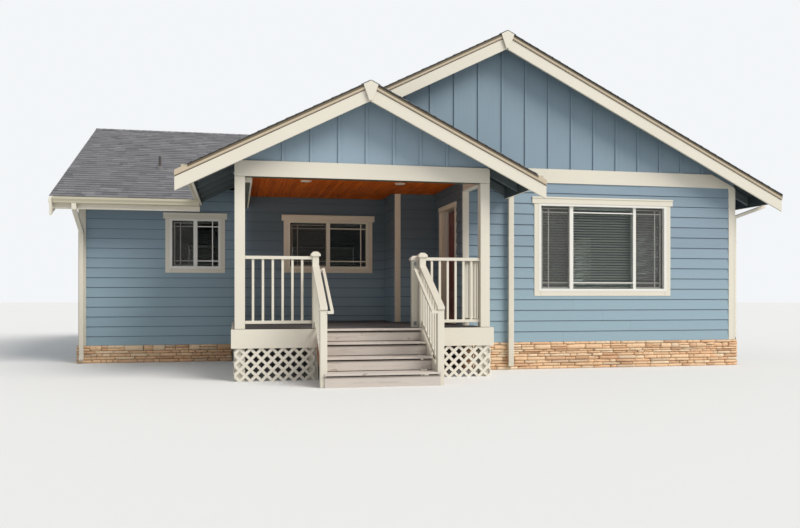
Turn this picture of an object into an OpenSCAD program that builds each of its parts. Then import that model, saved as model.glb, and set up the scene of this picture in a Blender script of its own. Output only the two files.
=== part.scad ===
// Bungalow with two nested front gables, a side wing and a raised corner porch.
// Millimetres, Z up. X runs right and Y runs back from the left porch post's front
// corner; the whole house is then moved so that its box is centred on the origin.

/* [Levels] */
// Height of one stair riser
riser = 185; // [178:1:190]
// Height of the foundation, and of the stone base on the front right wall
base_h = 450; // [430:5:470]
// Height of the stone base on the left wing
left_stone_h = 317; // [300:1:330]
// Height of the porch ceiling above the deck
ceiling_h = 2340; // [2330:5:2345]
// Clear height from the deck to the porch beam
beam_clear = 2183; // [2150:1:2200]
// Depth of the porch beam
beam_h = 230; // [200:5:235]

/* [Plan] */
// Porch width over the two corner posts
porch_w = 3792; // [3770:1:3810]
// Porch depth from the posts to the wall of the left wing
porch_d = 3644; // [3640:1:3660]
// Distance of the front right wall behind the posts
front_set = 983; // [970:1:1000]
// Distance of the wall at the back of the entry recess behind the posts
entry_set = 2717; // [2700:1:2740]
// Left edge of the entry recess
recess_x = 2865; // [2850:1:2880]
// Face of the wall that holds the front door
door_wall_x = 3645; // [3640:1:3650]
// Right side of the house
right_x = 8602; // [8590:1:8620]
// Distance of the left side of the house beyond the porch
wing_w = 2731; // [2700:1:2750]
// Thickness of the outer walls
wall_t = 180; // [160:5:200]

/* [Roof] */
// Rise over run of the two gables
gable_slope = 0.5; // [0.49:0.005:0.51]
// Rise over run of the side wing
wing_slope = 0.45; // [0.44:0.005:0.46]
// Peak of the main gable
main_peak = 5465; // [5440:5:5490]
// Half of the main roof's width, to its eaves
main_half = 4850; // [4840:5:4860]
// Vertical thickness of the roof, shingles and rafters together
roof_t = 190; // [180:5:200]
// Distance of the wing's ridge behind the posts
ridge_y = 7650; // [7600:10:7700]
// Height of the wing's ridge
ridge_z = 5033; // [5000:5:5045]
// Depth of the wing's roof from ridge to eave
wing_run = 4670; // [4660:5:4680]
// Overhang of the roof past each gable wall
rake_over = 383; // [360:1:400]
// Height of a barge board, measured plumb
barge_h = 280; // [270:5:290]
// Distance that a barge board runs on past the eave
barge_tail = 160; // [150:5:170]
// The same at the left end of the porch gable
porch_tail_left = 234; // [220:1:240]
// The same at the right end of the porch gable
porch_tail_right = 195; // [180:1:200]

/* [Windows and door] */
// Width of the door
door_w = 914; // [900:1:920]
// Height of the door
door_h = 1930; // [1900:5:1935]
// Middle of the door, measured back from the posts
door_y = 1856; // [1850:1:1870]
// Width of the flat trim round an opening
trim_w = 110; // [105:1:115]
// Size of the front window in the right wall
front_window = [2270, 1432];
// Size of the window at the back of the porch
porch_window = [1480, 872];
// Size of the small window in the left wing
small_window = [850, 885];
// Height of the window heads
head_z = 2636; // [2626:1:2646]
// Height of the front window's head
front_head_z = 2756; // [2745:1:2765]
// Left side of the front window's frame
front_x = 4992; // [4985:1:5000]
// Left side of the porch window's frame
porch_x = 1014; // [1010:1:1020]
// Left side of the small window's frame
small_x = -1140; // [-1145:1:-1130]
// Height of the side and rear windows
side_h = 1100; // [1000:10:1200]

/* [Porch] */
// Width of a porch post
post_w = 147; // [140:1:150]
// Height of the rails above the deck
rail_h = 1052; // [1045:1:1065]
// Width of a newel post
newel_w = 95; // [89:1:100]
// Depth of a stair tread from riser to riser
tread_run = 335; // [320:1:340]
// Clear width between the newels of the stair
stair_w = 1504; // [1490:1:1510]
// Left side of the stair's left newels
newel_x = 1108; // [1100:1:1115]
// Width of a lath of the skirt below the deck
lath_w = 38; // [35:1:42]
// Distance between laths that run the same way, measured level
lath_pitch = 153; // [150:1:160]

/* [Hidden] */
$fn = 48;
deck_z = 4 * riser;
ceiling_z = deck_z + ceiling_h;
beam_z = deck_z + beam_clear;
beam_top = beam_z + beam_h;

left_x = -wing_w;
rear_y = 2 * ridge_y - porch_d;
main_cx = right_x / 2 - 13;
main_left = main_cx - main_half;
main_right = main_cx + main_half;
main_front = front_set - rake_over;
main_rear = rear_y + rake_over;
wing_left = left_x - 304;
wing_front = ridge_y - wing_run;
wing_rear = ridge_y + wing_run;
porch_cx = porch_w / 2;
porch_right = 2 * porch_cx - main_left;
porch_front = -400;
barge_t = 57;
strip_h = 74;
strip_t = 19;
peak_w = 215;
peak_foot = 55;

function main_top(x) = main_peak - gable_slope * abs(x - main_cx);
function wing_top(y) = ridge_z - wing_slope * abs(y - ridge_y);
porch_peak = main_top(porch_cx);
function porch_top(x) = porch_peak - gable_slope * abs(x - porch_cx);

wing_wall_top = wing_top(porch_d) - roof_t;
main_wall_top = main_top(right_x) - roof_t;
porch_wall_top = main_top(0) - roof_t;

fascia_t = 38;
fascia_h = 210;
fascia_drop = 15;
gutter_drop = 30;
gutter_w = 120;
gutter_h = 110;
gutter_t = 8;
cap_t = 12;
band_h = 235;
band_t = 30;
cap_w = 150;
trim_t = 25;
stone_t = 60;
deck_t = 40;
rim_h = 270;
rim_t = 38;
rim_out = 48;
nose = 83;
side_beam_w = 250;
stair_x = newel_x + newel_w;
newel2_x = stair_x + stair_w;
foot_y = -nose - 3 * tread_run;
riser_back = 26;
riser_t = 18;
foot_newel_y = foot_y + riser_back + riser_t + 2;
head_newel_y = 26;
newel_h = rail_h + 2;
foot_newel_h = 1030;
jamb_t = 32;
door_gap = 8;
sill_h = 30;
leaf_t = 44;
rough_half = door_w / 2 + door_gap + jamb_t;
leaf_x = door_wall_x + wall_t - leaf_t;
leaf_z = deck_z + sill_h + door_gap;
leaf_y = door_y - door_w / 2;
rough_top = leaf_z + door_h + door_gap + jamb_t;
lite = [150, 1200];
lite_z = leaf_z + 500;
hinge_x = leaf_x + leaf_t + 7;
hinge_y = leaf_y + door_w;

// Side and rear windows: distance along the wall, and width.
right_windows = [[3200, 1220], [6300, 1220], [9400, 844]];
left_windows = [[5600, 1220], [9000, 1220]];
rear_windows = [[-1300, 1220], [1600, 1800], [5200, 1220], [7000, 844]];

mid_x = (wing_left - barge_t + main_right + barge_tail) / 2;
mid_y = (foot_y + wing_rear + barge_tail) / 2;

// A block between two opposite corners.
module block(low, high) {
    translate(low) cube(high - low);
}

// A section drawn in X and Z, run from y0 back to y1.
module run_y(y0, y1, points) {
    translate([0, y1, 0]) rotate([90, 0, 0]) linear_extrude(y1 - y0) polygon(points);
}

// A section drawn in Y and Z, run from x0 right to x1.
module run_x(x0, x1, points) {
    translate([x0, 0, 0]) rotate([90, 0, 90]) linear_extrude(x1 - x0) polygon(points);
}

module placed() {
    translate([-mid_x, -mid_y, 0]) children();
}

module foundation() {
    ledge = wall_t + 100;
    outline = [[left_x, porch_d], [recess_x, porch_d], [recess_x, entry_set],
        [door_wall_x, entry_set], [door_wall_x, front_set], [right_x, front_set],
        [right_x, rear_y], [left_x, rear_y]];
    inside = [[left_x + ledge, porch_d + ledge], [recess_x + ledge, porch_d + ledge],
        [recess_x + ledge, entry_set + ledge], [door_wall_x + ledge, entry_set + ledge],
        [door_wall_x + ledge, front_set + ledge], [right_x - ledge, front_set + ledge],
        [right_x - ledge, rear_y - ledge], [left_x + ledge, rear_y - ledge]];
    color("darkgray") linear_extrude(base_h) difference() {
        polygon(outline);
        polygon(inside);
    }
}

module stone_base() {
    color("tan") {
        block([door_wall_x, front_set - stone_t, 0], [right_x + stone_t, front_set, base_h]);
        block([right_x, front_set + 1, 0], [right_x + stone_t, rear_y, base_h]);
        block([left_x - stone_t, porch_d - stone_t, 0], [-rim_out, porch_d, left_stone_h]);
        block([left_x - stone_t, porch_d + 1, 0], [left_x, rear_y, left_stone_h]);
    }
}

module floor() {
    t = wall_t;
    color("burlywood") translate([0, 0, base_h]) linear_extrude(deck_z - base_h) polygon([
        [left_x + t, porch_d + t], [recess_x + t, porch_d + t], [recess_x + t, entry_set + t],
        [door_wall_x + t, entry_set + t], [door_wall_x + t, front_set + t],
        [right_x - t, front_set + t], [right_x - t, rear_y - t], [left_x + t, rear_y - t]]);
}

module front_left_wall() {
    color("slategray") difference() {
        block([left_x + wall_t, porch_d, base_h], [-60, porch_d + wall_t, wing_wall_top]);
        translate([small_x, porch_d - 1, head_z - small_window[1]])
            cube([small_window[0], wall_t + 2, small_window[1]]);
    }
}

module porch_back_wall() {
    color("slategray") difference() {
        block([-60, porch_d, base_h], [recess_x, porch_d + wall_t, porch_wall_top - 40]);
        translate([porch_x, porch_d - 1, head_z - porch_window[1]])
            cube([porch_window[0], wall_t + 2, porch_window[1]]);
    }
}

module recess_side_wall() {
    color("slategray")
        block([recess_x, entry_set, base_h],
              [recess_x + wall_t, porch_d + wall_t, main_wall_top]);
}

module recess_back_wall() {
    color("slategray")
        block([recess_x + wall_t, entry_set, base_h],
              [door_wall_x + wall_t, entry_set + wall_t, main_wall_top]);
}

// The two parts of the wall beside the door.
module door_side_walls() {
    color("slategray") {
        block([door_wall_x, front_set, base_h],
              [door_wall_x + wall_t, door_y - rough_half, main_wall_top]);
        block([door_wall_x, door_y + rough_half, base_h],
              [door_wall_x + wall_t, entry_set, main_wall_top]);
    }
}

// The parts of the wall over the door and below its sill.
module door_wall_head() {
    color("slategray") {
        block([door_wall_x, door_y - rough_half, rough_top],
              [door_wall_x + wall_t, door_y + rough_half, main_wall_top]);
        block([door_wall_x, door_y - rough_half, base_h],
              [door_wall_x + wall_t, door_y + rough_half, deck_z]);
    }
}

module front_right_wall() {
    color("slategray") difference() {
        block([door_wall_x + wall_t, front_set, base_h],
              [right_x - wall_t, front_set + wall_t, main_wall_top]);
        translate([front_x, front_set - 1, front_head_z - front_window[1]])
            cube([front_window[0], wall_t + 2, front_window[1]]);
    }
}

module right_wall() {
    color("slategray") difference() {
        block([right_x - wall_t, front_set, base_h], [right_x, rear_y, main_wall_top]);
        for (w = right_windows)
            translate([right_x - wall_t - 1, w[0], head_z - side_h])
                cube([wall_t + 2, w[1], side_h]);
    }
}

module rear_wall() {
    color("slategray") difference() {
        block([left_x + wall_t, rear_y - wall_t, base_h],
              [right_x - wall_t, rear_y, wing_wall_top]);
        for (w = rear_windows)
            translate([w[0], rear_y - wall_t - 1, head_z - side_h])
                cube([w[1], wall_t + 2, side_h]);
    }
}

module left_wall() {
    color("slategray") difference() {
        run_x(left_x, left_x + wall_t, [[porch_d, base_h], [rear_y, base_h],
            [rear_y, wing_wall_top], [ridge_y, ridge_z - roof_t], [porch_d, wing_wall_top]]);
        for (w = left_windows)
            translate([left_x - 1, w[0], head_z - side_h]) cube([wall_t + 2, w[1], side_h]);
    }
}

module front_gable_wall() {
    low = main_wall_top;
    half = right_x - main_cx;
    color("slategray") run_y(front_set, front_set + wall_t,
        [[main_cx - half, low], [right_x, low], [main_cx, main_peak - roof_t]]);
}

module rear_gable_wall() {
    low = wing_wall_top;
    start = main_cx - (main_peak - roof_t - low) / gable_slope;
    color("slategray") run_y(rear_y - wall_t, rear_y,
        [[start, low], [right_x - wall_t, low],
         [right_x - wall_t, main_top(right_x - wall_t) - roof_t],
         [main_cx, main_peak - roof_t]]);
}

module porch_gable_wall() {
    half = (porch_peak - roof_t - beam_top) / gable_slope;
    color("slategray") run_y(40, post_w,
        [[porch_cx - half, beam_top], [porch_cx + half, beam_top],
         [porch_cx, porch_peak - roof_t]]);
}

// The space under the wing's roof, down to the ground.
module under_wing(drop) {
    run_x(wing_left - 10, main_cx, [[wing_front, 0], [wing_front, wing_top(wing_front) - drop],
        [ridge_y, ridge_z - drop], [wing_rear, wing_top(wing_rear) - drop], [wing_rear, 0]]);
}

// The space under the right slope of the porch roof, down to the ground.
module under_porch() {
    run_y(porch_front - 10, front_set, [[porch_cx, 0], [porch_cx, porch_peak],
        [porch_right, porch_top(porch_right)], [porch_right, 0]]);
}

// The space under the main roof, down to the ground.
module under_main() {
    run_y(-1000, wing_rear + 10, [[main_left, 0], [main_left, main_top(main_left)],
        [main_cx, main_peak], [main_right, main_top(main_right)], [main_right, 0]]);
}

module main_roof_left() {
    color("rosybrown") difference() {
        run_y(main_front + barge_t, main_rear - barge_t,
            [[main_left, main_top(main_left)], [main_cx, main_peak],
             [main_cx, main_peak - roof_t], [main_left, main_top(main_left) - roof_t]]);
        under_wing(roof_t);
        under_porch();
    }
}

module main_roof_right() {
    color("rosybrown") run_y(main_front + barge_t, main_rear - barge_t,
        [[main_cx, main_peak], [main_right, main_top(main_right)],
         [main_right, main_top(main_right) - roof_t], [main_cx, main_peak - roof_t]]);
}

module porch_roof_left() {
    color("rosybrown") run_y(porch_front + barge_t, main_front + barge_t,
        [[main_left, main_top(main_left)], [porch_cx, porch_peak],
         [porch_cx, porch_peak - roof_t], [main_left, main_top(main_left) - roof_t]]);
}

module porch_roof_right() {
    color("rosybrown") run_y(porch_front + barge_t, front_set,
        [[porch_cx, porch_peak], [porch_right, porch_top(porch_right)],
         [porch_right, porch_top(porch_right) - roof_t], [porch_cx, porch_peak - roof_t]]);
}

module wing_roof_front() {
    color("rosybrown") difference() {
        run_x(wing_left, main_cx, [[wing_front, wing_top(wing_front)], [ridge_y, ridge_z],
            [ridge_y, ridge_z - roof_t], [wing_front, wing_top(wing_front) - roof_t]]);
        under_main();
    }
}

module wing_roof_rear() {
    color("rosybrown") difference() {
        run_x(wing_left, main_cx, [[ridge_y, ridge_z], [wing_rear, wing_top(wing_rear)],
            [wing_rear, wing_top(wing_rear) - roof_t], [ridge_y, ridge_z - roof_t]]);
        under_main();
    }
}

// Folded shingles along a ridge, drawn as a section across it.
function ridge_cap(mid, peak, slope) = [
    [mid - cap_w, peak - slope * cap_w], [mid, peak], [mid + cap_w, peak - slope * cap_w],
    [mid + cap_w, peak - slope * cap_w + cap_t], [mid, peak + cap_t],
    [mid - cap_w, peak - slope * cap_w + cap_t]];

module ridge_caps() {
    color("dimgray") {
        run_y(main_front, main_rear, ridge_cap(main_cx, main_peak, gable_slope));
        run_y(porch_front, main_front - 1, ridge_cap(porch_cx, porch_peak, gable_slope));
        difference() {
            run_x(wing_left - barge_t, main_cx, ridge_cap(ridge_y, ridge_z, wing_slope));
            under_main();
        }
    }
}

// The section of a barge board of height h, straight from one end to the other.
function rake(a, z_a, b, z_b, h) = [[a, z_a], [b, z_b], [b, z_b - h], [a, z_a - h]];

// One barge board across a gable. A narrow strip runs along the upper edge of the wide
// board, on its side away from the house: ahead of it at the front, behind it at the rear.
module barge(x0, x1, z0, z1, y, rear = false) {
    board_y = rear ? y : y + strip_t;
    strip_y = rear ? y + barge_t - strip_t : y;
    run_y(board_y, board_y + barge_t - strip_t, rake(x0, z0, x1, z1, barge_h));
    run_y(strip_y, strip_y + strip_t, rake(x0, z0, x1, z1, strip_h));
}

// The tapered block that covers the joint of two barge boards at a peak.
module peak_block(mid, peak, y) {
    run_y(y - strip_t - 1, y - 1, [[mid - peak_w / 2, peak - peak_w / 2 * gable_slope],
        [mid, peak], [mid + peak_w / 2, peak - peak_w / 2 * gable_slope],
        [mid + peak_foot / 2, peak - barge_h], [mid - peak_foot / 2, peak - barge_h]]);
}

module main_barge_boards() {
    tail = main_right + barge_tail;
    valley_x = main_cx - (main_peak - wing_top(main_rear)) / gable_slope;
    color("ivory") {
        difference() {
            barge(porch_cx, main_cx - 1, porch_peak, main_top(main_cx - 1), main_front);
            under_porch();
        }
        barge(main_cx, tail, main_peak, main_top(tail), main_front);
        peak_block(main_cx, main_peak, main_front);
        barge(main_cx, tail, main_peak, main_top(tail), main_rear - barge_t, rear = true);
        difference() {
            barge(valley_x - 200, main_cx - 1, main_top(valley_x - 200),
                  main_top(main_cx - 1), main_rear - barge_t, rear = true);
            under_wing(0);
        }
    }
}

module porch_barge_boards() {
    tail_l = main_left - porch_tail_left;
    tail_r = porch_right + porch_tail_right;
    color("ivory") {
        barge(tail_l, porch_cx - 1, porch_top(tail_l), porch_top(porch_cx - 1), porch_front);
        barge(porch_cx, tail_r, porch_peak, porch_top(tail_r), porch_front);
        peak_block(porch_cx, porch_peak, porch_front);
    }
}

module wing_barge_boards() {
    tail_f = wing_front - barge_tail;
    tail_r = wing_rear + barge_tail;
    board_x = wing_left - barge_t + strip_t;
    strip_x = wing_left - barge_t;
    color("ivory") {
        for (tail = [tail_f, tail_r]) {
            top = tail < ridge_y ? ridge_y - 1 : ridge_y;
            run_x(board_x, wing_left, rake(tail, wing_top(tail), top, wing_top(top), barge_h));
            run_x(strip_x, strip_x + strip_t,
                rake(tail, wing_top(tail), top, wing_top(top), strip_h));
        }
    }
}

module fascias() {
    wing_z = wing_top(wing_front) - fascia_drop;
    main_z = main_top(main_left) - fascia_drop;
    color("ivory") {
        block([wing_left, wing_front - fascia_t, wing_z - fascia_h],
              [main_left - fascia_t - 5, wing_front, wing_z]);
        block([wing_left, wing_rear, wing_z - fascia_h],
              [main_left, wing_rear + fascia_t, wing_z]);
        block([main_left - fascia_t, porch_front + barge_t, main_z - fascia_h],
              [main_left, wing_front - 1, main_z]);
        block([main_right, main_front + barge_t, main_z - fascia_h],
              [main_right + fascia_t, main_rear - barge_t, main_z]);
        block([porch_right, porch_front + barge_t, main_z - fascia_h],
              [porch_right + fascia_t, front_set - trim_t - 1, main_z]);
    }
}

// An open trough, its section drawn with its back at 0.
function trough(at, side, top) = [
    [at, top], [at + side * gutter_t, top], [at + side * gutter_t, top - gutter_h + gutter_t],
    [at + side * (gutter_w - 25 - gutter_t), top - gutter_h + gutter_t],
    [at + side * (gutter_w - gutter_t), top], [at + side * gutter_w, top],
    [at + side * (gutter_w - 25), top - gutter_h], [at, top - gutter_h]];

module gutters() {
    wing_z = wing_top(wing_front) - gutter_drop;
    main_z = main_top(main_left) - gutter_drop;
    color("ivory") {
        run_x(wing_left + 5, main_left - fascia_t - 10, trough(wing_front - fascia_t, -1, wing_z));
        run_x(wing_left + 5, main_left - fascia_t - 10, trough(wing_rear + fascia_t, 1, wing_z));
        run_y(porch_front + barge_t + 5, wing_front - fascia_t - gutter_w - 20,
            trough(main_left - fascia_t, -1, main_z));
        run_y(main_front + barge_t + 5, main_rear - barge_t - 5,
            trough(main_right + fascia_t, 1, main_z));
        run_y(porch_front + barge_t + 5, front_set - 5,
            trough(porch_right + fascia_t, 1, main_z));
    }
}

// The left pipe drops from the wing's gutter and slants back to the corner, the middle
// one falls straight from the porch gutter, and the right one slants in from the eave.
module downspouts() {
    wide = 76;
    deep = 56;
    lap = 2;
    low = 60;
    left_y = porch_d - stone_t - deep - lap;
    wing_z = wing_top(wing_front) - gutter_drop - gutter_h;
    outlet_y = wing_front - fascia_t - gutter_w / 2 - deep / 2;
    main_z = main_top(main_left) - gutter_drop - gutter_h;
    middle_x = 4410;
    middle_y = front_set - stone_t - deep - lap;
    side_x = right_x + trim_t + lap;
    boot_x = right_x + stone_t + lap;
    outlet_x = main_right + fascia_t + gutter_w / 2 - deep / 2;
    neck = 95;
    drop = 440;
    side_drop = 300;
    color("ivory") {
        run_x(left_x + 4, left_x + 4 + wide, [
            [outlet_y, wing_z], [outlet_y + deep, wing_z], [outlet_y + deep, wing_z - neck],
            [left_y + deep, wing_z - drop], [left_y + deep, low], [left_y - deep, low / 2],
            [left_y - deep, low * 1.5], [left_y, low * 2], [left_y, wing_z - drop - deep / 2],
            [outlet_y, wing_z - neck - deep / 2]]);
        block([middle_x, middle_y, low], [middle_x + wide, middle_y + deep, main_z]);
        run_y(front_set + 25, front_set + 25 + wide, [
            [outlet_x + deep, main_z], [outlet_x, main_z], [outlet_x, main_z - neck],
            [side_x, main_z - side_drop], [side_x, base_h + deep], [boot_x, base_h + lap],
            [boot_x, low], [boot_x + deep / 2, low], [boot_x + deep / 2, base_h],
            [side_x + deep, base_h + deep], [side_x + deep, main_z - side_drop - deep / 2],
            [outlet_x + deep, main_z - neck - deep / 2]]);
    }
}

// A wide board across the foot of the main gable, cut off by the two roofs it meets.
module band_boards() {
    low = main_wall_top - 18;
    high = low + band_h;
    color("ivory") run_y(front_set - band_t, front_set, [
        [porch_cx + (porch_peak - low) / gable_slope + 4, low], [right_x, low],
        [right_x, main_wall_top], [right_x - (high - main_wall_top) / gable_slope, high],
        [porch_cx + (porch_peak - high) / gable_slope + 4, high]]);
}

module corner_boards() {
    w = 105;
    color("ivory") {
        block([left_x, porch_d - trim_t, left_stone_h],
              [left_x + w, porch_d, wing_top(porch_d - trim_t) - roof_t - 1]);
        block([left_x - trim_t, porch_d - trim_t, left_stone_h],
              [left_x - 1, porch_d + w, wing_top(porch_d - trim_t) - roof_t - 1]);
        block([left_x - trim_t, rear_y - w, left_stone_h],
              [left_x, rear_y + trim_t, wing_top(porch_d - trim_t) - roof_t - 1]);
        block([door_wall_x, front_set - trim_t, base_h],
              [door_wall_x + w, front_set, beam_z - 1]);
        block([right_x - w, front_set - trim_t, base_h],
              [right_x, front_set, main_wall_top - 19]);
        block([right_x + 1, front_set - trim_t, base_h],
              [right_x + trim_t, front_set + w, main_top(right_x + trim_t) - roof_t - 1]);
        block([right_x, rear_y - w, base_h],
              [right_x + trim_t, rear_y + trim_t, wing_wall_top - 20]);
        block([recess_x, entry_set - trim_t, deck_z + 1],
              [recess_x + w, entry_set, ceiling_z - 1]);
    }
}

module vent_pipe() {
    d = 50;
    color("dimgray") difference() {
        translate([-1440, 4668, wing_top(4668) - 60]) {
            cylinder(h = 60 + 255, d = d);
            cylinder(h = 60 + 75, d1 = 240, d2 = d);
        }
        under_wing(0);
    }
}

module porch_deck() {
    color("silver") translate([0, 0, deck_z - deck_t]) linear_extrude(deck_t) polygon([
        [-9, -9], [stair_x + 1, -9], [stair_x + 1, -nose], [newel2_x - 1, -nose],
        [newel2_x - 1, -9], [porch_w + 9, -9], [porch_w + 9, front_set - stone_t - 1],
        [door_wall_x - 2, front_set - stone_t - 1], [door_wall_x - 2, entry_set - 2],
        [recess_x - 2, entry_set - 2], [recess_x - 2, porch_d - 2], [-9, porch_d - 2]]);
}

module rim_boards() {
    low = deck_z - rim_h;
    x1 = porch_w + rim_out;
    color("ivory") {
        block([-rim_out, -rim_out, low], [stair_x, -rim_out + rim_t, deck_z]);
        block([newel2_x, -rim_out, low], [x1, -rim_out + rim_t, deck_z]);
        block([-rim_out, -rim_out + rim_t + 1, low],
              [-rim_out + rim_t, porch_d - stone_t - 1, deck_z]);
        block([x1 - rim_t, -rim_out + rim_t + 1, low],
              [x1, front_set - stone_t - 1, deck_z]);
    }
}

module porch_posts() {
    color("ivory") for (x = [0, porch_w - post_w])
        block([x, 0, deck_z], [x + post_w, post_w, beam_z]);
}

module porch_beams() {
    corner_z = porch_top(0) - roof_t;
    bevel = (beam_top - corner_z) / gable_slope;
    low = beam_z - 70;
    back = front_set - trim_t - 1;
    color("ivory") {
        run_y(0, post_w, [[0, beam_z], [porch_w, beam_z], [porch_w, corner_z],
            [porch_w - bevel, beam_top], [bevel, beam_top], [0, corner_z]]);
        block([post_w - 100, post_w + 1, low], [side_beam_w, porch_d - 1, ceiling_z - 1]);
        block([porch_w - post_w, post_w + 1, beam_z], [porch_w - 20, back, ceiling_z - 1]);
    }
}

module porch_ceiling() {
    back = front_set - trim_t - 1;
    color("sienna") translate([0, 0, ceiling_z]) linear_extrude(20) polygon([
        [50, post_w + 1], [porch_w - 50, post_w + 1], [porch_w - 50, back],
        [door_wall_x - 1, back], [door_wall_x - 1, entry_set - 1],
        [recess_x - 1, entry_set - 1], [recess_x - 1, porch_d - 1], [50, porch_d - 1]]);
}

// A level railing along X from the origin: top rail, foot rail and square balusters.
module railing(len) {
    top_h = 46;
    top_w = 70;
    foot_z = 75;
    foot_h = 45;
    baluster = 34;
    count = round(len / 150);
    gap = len / (count + 0.83);
    translate([0, -top_w / 2, rail_h - top_h]) cube([len, top_w, top_h]);
    translate([0, -foot_h / 2, foot_z]) cube([len, foot_h, foot_h]);
    for (k = [0 : count - 1])
        translate([gap * (k + 0.8) - baluster / 2, -baluster / 2, foot_z + foot_h])
            cube([baluster, baluster, rail_h - top_h - foot_z - foot_h]);
}

module porch_railings() {
    mid = post_w / 2;
    color("ivory") {
        translate([post_w + 1, mid, deck_z]) railing(newel_x - post_w - 2);
        translate([newel2_x + newel_w + 1, mid, deck_z])
            railing(porch_w - post_w - newel2_x - newel_w - 2);
        translate([mid, post_w + 1, deck_z]) rotate([0, 0, 90]) railing(porch_d - post_w - 2);
        translate([porch_w - mid, post_w + 1, deck_z]) rotate([0, 0, 90])
            railing(front_set - trim_t - post_w - 2);
    }
}

// A post with a wide cap whose top slopes in to a small flat, its foot at the origin.
module newel(h) {
    cap = 142;
    cap_h = 38;
    neck = 30;
    translate([-newel_w / 2, -newel_w / 2, 0]) cube([newel_w, newel_w, h]);
    translate([-cap / 2, -cap / 2, h]) cube([cap, cap, neck]);
    translate([0, 0, h + neck]) rotate([0, 0, 45])
        cylinder(h = cap_h, d1 = cap * sqrt(2), d2 = cap * 2 / 3, $fn = 4);
}

module newel_posts() {
    color("ivory") {
        for (x = [newel_x, newel2_x] + [newel_w / 2, newel_w / 2]) {
            translate([x, head_newel_y + newel_w / 2, deck_z]) newel(newel_h);
            block([x - newel_w / 2, foot_newel_y, 0],
                  [x + newel_w / 2, foot_newel_y + newel_w, foot_newel_h]);
        }
        translate([newel2_x - 40, head_newel_y + 2 * newel_w, deck_z]) newel(newel_h - 40);
    }
}

// Both stair railings: a wide sloping top rail over the newels, a lower rail along the
// steps and square balusters between them.
module stair_railings() {
    y0 = foot_newel_y - 15;
    y1 = head_newel_y;
    z0 = foot_newel_h + 1;
    slope = riser / tread_run;
    thick = 38;
    wide = newel_w + 6;
    low_y = foot_newel_y + newel_w + 1;
    low = 250;
    baluster = 36;
    count = 7;
    step = (y1 - low_y) / count;
    color("ivory") for (x = [newel_x, newel2_x] + [newel_w / 2, newel_w / 2]) {
        difference() {
            run_x(x - wide / 2, x + wide / 2, [
                [y0, z0], [y1 - 1, z0 + slope * (y1 - y0)],
                [y1 - 1, z0 + thick + slope * (y1 - y0)], [y0, z0 + thick]]);
            block([x - newel_w, foot_newel_y - 30, 0],
                  [x + newel_w, foot_newel_y + newel_w, foot_newel_h + 1]);
        }
        run_x(x - baluster / 2, x + baluster / 2, [
            [low_y, low], [y1 - 1, low + slope * (y1 - low_y)],
            [y1 - 1, low + 60 + slope * (y1 - low_y)], [low_y, low + 60]]);
        for (k = [0 : count - 1]) {
            y = low_y + step * (k + 0.5);
            block([x - baluster / 2, y - baluster / 2, low + 30 + slope * (y - low_y)],
                  [x + baluster / 2, y + baluster / 2, z0 + thick / 2 + slope * (y - y0)]);
        }
    }
}

// Slim handrails inside the stair railings, turned in to the newels at both ends.
module handrails() {
    bar = 38;
    off = 66;
    y0 = foot_newel_y - 10;
    y1 = head_newel_y + 20;
    slope = riser / tread_run;
    z0 = foot_newel_h - 50;
    color("ivory") for (side = [1, -1]) {
        face = side > 0 ? stair_x : newel2_x;
        translate([face, 0, 0]) mirror([side > 0 ? 0 : 1, 0, 0]) {
            run_x(off - bar / 2, off + bar / 2, [
                [y0, z0], [y1, z0 + slope * (y1 - y0)],
                [y1, z0 + bar + slope * (y1 - y0)], [y0, z0 + bar]]);
            block([1, y0, z0], [off, y0 + bar, z0 + bar]);
            block([1, y1 - bar, z0 + slope * (y1 - y0) - bar / 2],
                  [off, y1, z0 + slope * (y1 - y0) + bar / 2]);
        }
    }
}

// Three treads and four risers. The lowest ones run on in front of the newels.
module stair_treads() {
    thick = 26;
    over = 40;
    color("silver") for (k = [1 : 3]) {
        y0 = foot_y + (k - 1) * tread_run;
        z1 = k * riser;
        block([stair_x + 2, y0, z1 - thick], [newel2_x - 2, y0 + tread_run + riser_back - 1, z1]);
        if (k == 1)
            block([stair_x - over, y0, z1 - thick],
                  [newel2_x + over, y0 + riser_back + riser_t, z1]);
    }
}

module stair_risers() {
    thick = 26;
    over = 35;
    color("silver") for (k = [0 : 3]) {
        wide = k == 0 ? -over : 2;
        y0 = foot_y + k * tread_run + riser_back;
        top = k == 3 ? deck_z - deck_t - 1 : (k + 1) * riser - thick - 1;
        block([stair_x + wide, y0, k == 0 ? 0 : k * riser - thick],
              [newel2_x - wide, y0 + riser_t, top]);
    }
}

// The sloping boards outside the steps, from the ground up to the deck's rim.
module stair_stringers() {
    slope = riser / tread_run;
    y0 = foot_newel_y + newel_w + 1;
    y1 = -rim_out - 1;
    high = 120 + slope * (y0 - foot_y);
    rise = slope * (y1 - y0);
    color("ivory") for (x = [stair_x - 38, newel2_x])
        run_x(x, x + 38, [[y0, 0], [y0 + 250, 0], [y1, high + rise - 330],
            [y1, high + rise], [y0, high]]);
}

// Crossed laths in a thin border, drawn flat from the origin.
module lattice_panel(len, high) {
    edge = 30;
    run = high * sqrt(2) + lath_w;
    extra = ceil(high / lath_pitch);
    linear_extrude(16) intersection() {
        square([len, high]);
        union() {
            difference() {
                square([len, high]);
                translate([edge, edge]) square([len - 2 * edge, high - 2 * edge]);
            }
            for (k = [-extra : ceil(len / lath_pitch)]) {
                translate([k * lath_pitch, -lath_w]) rotate(45)
                    translate([0, -lath_w / 2]) square([run + lath_w, lath_w]);
                translate([(k + extra) * lath_pitch, -lath_w]) rotate(135)
                    translate([0, -lath_w / 2]) square([run + lath_w, lath_w]);
            }
        }
    }
}

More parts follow.
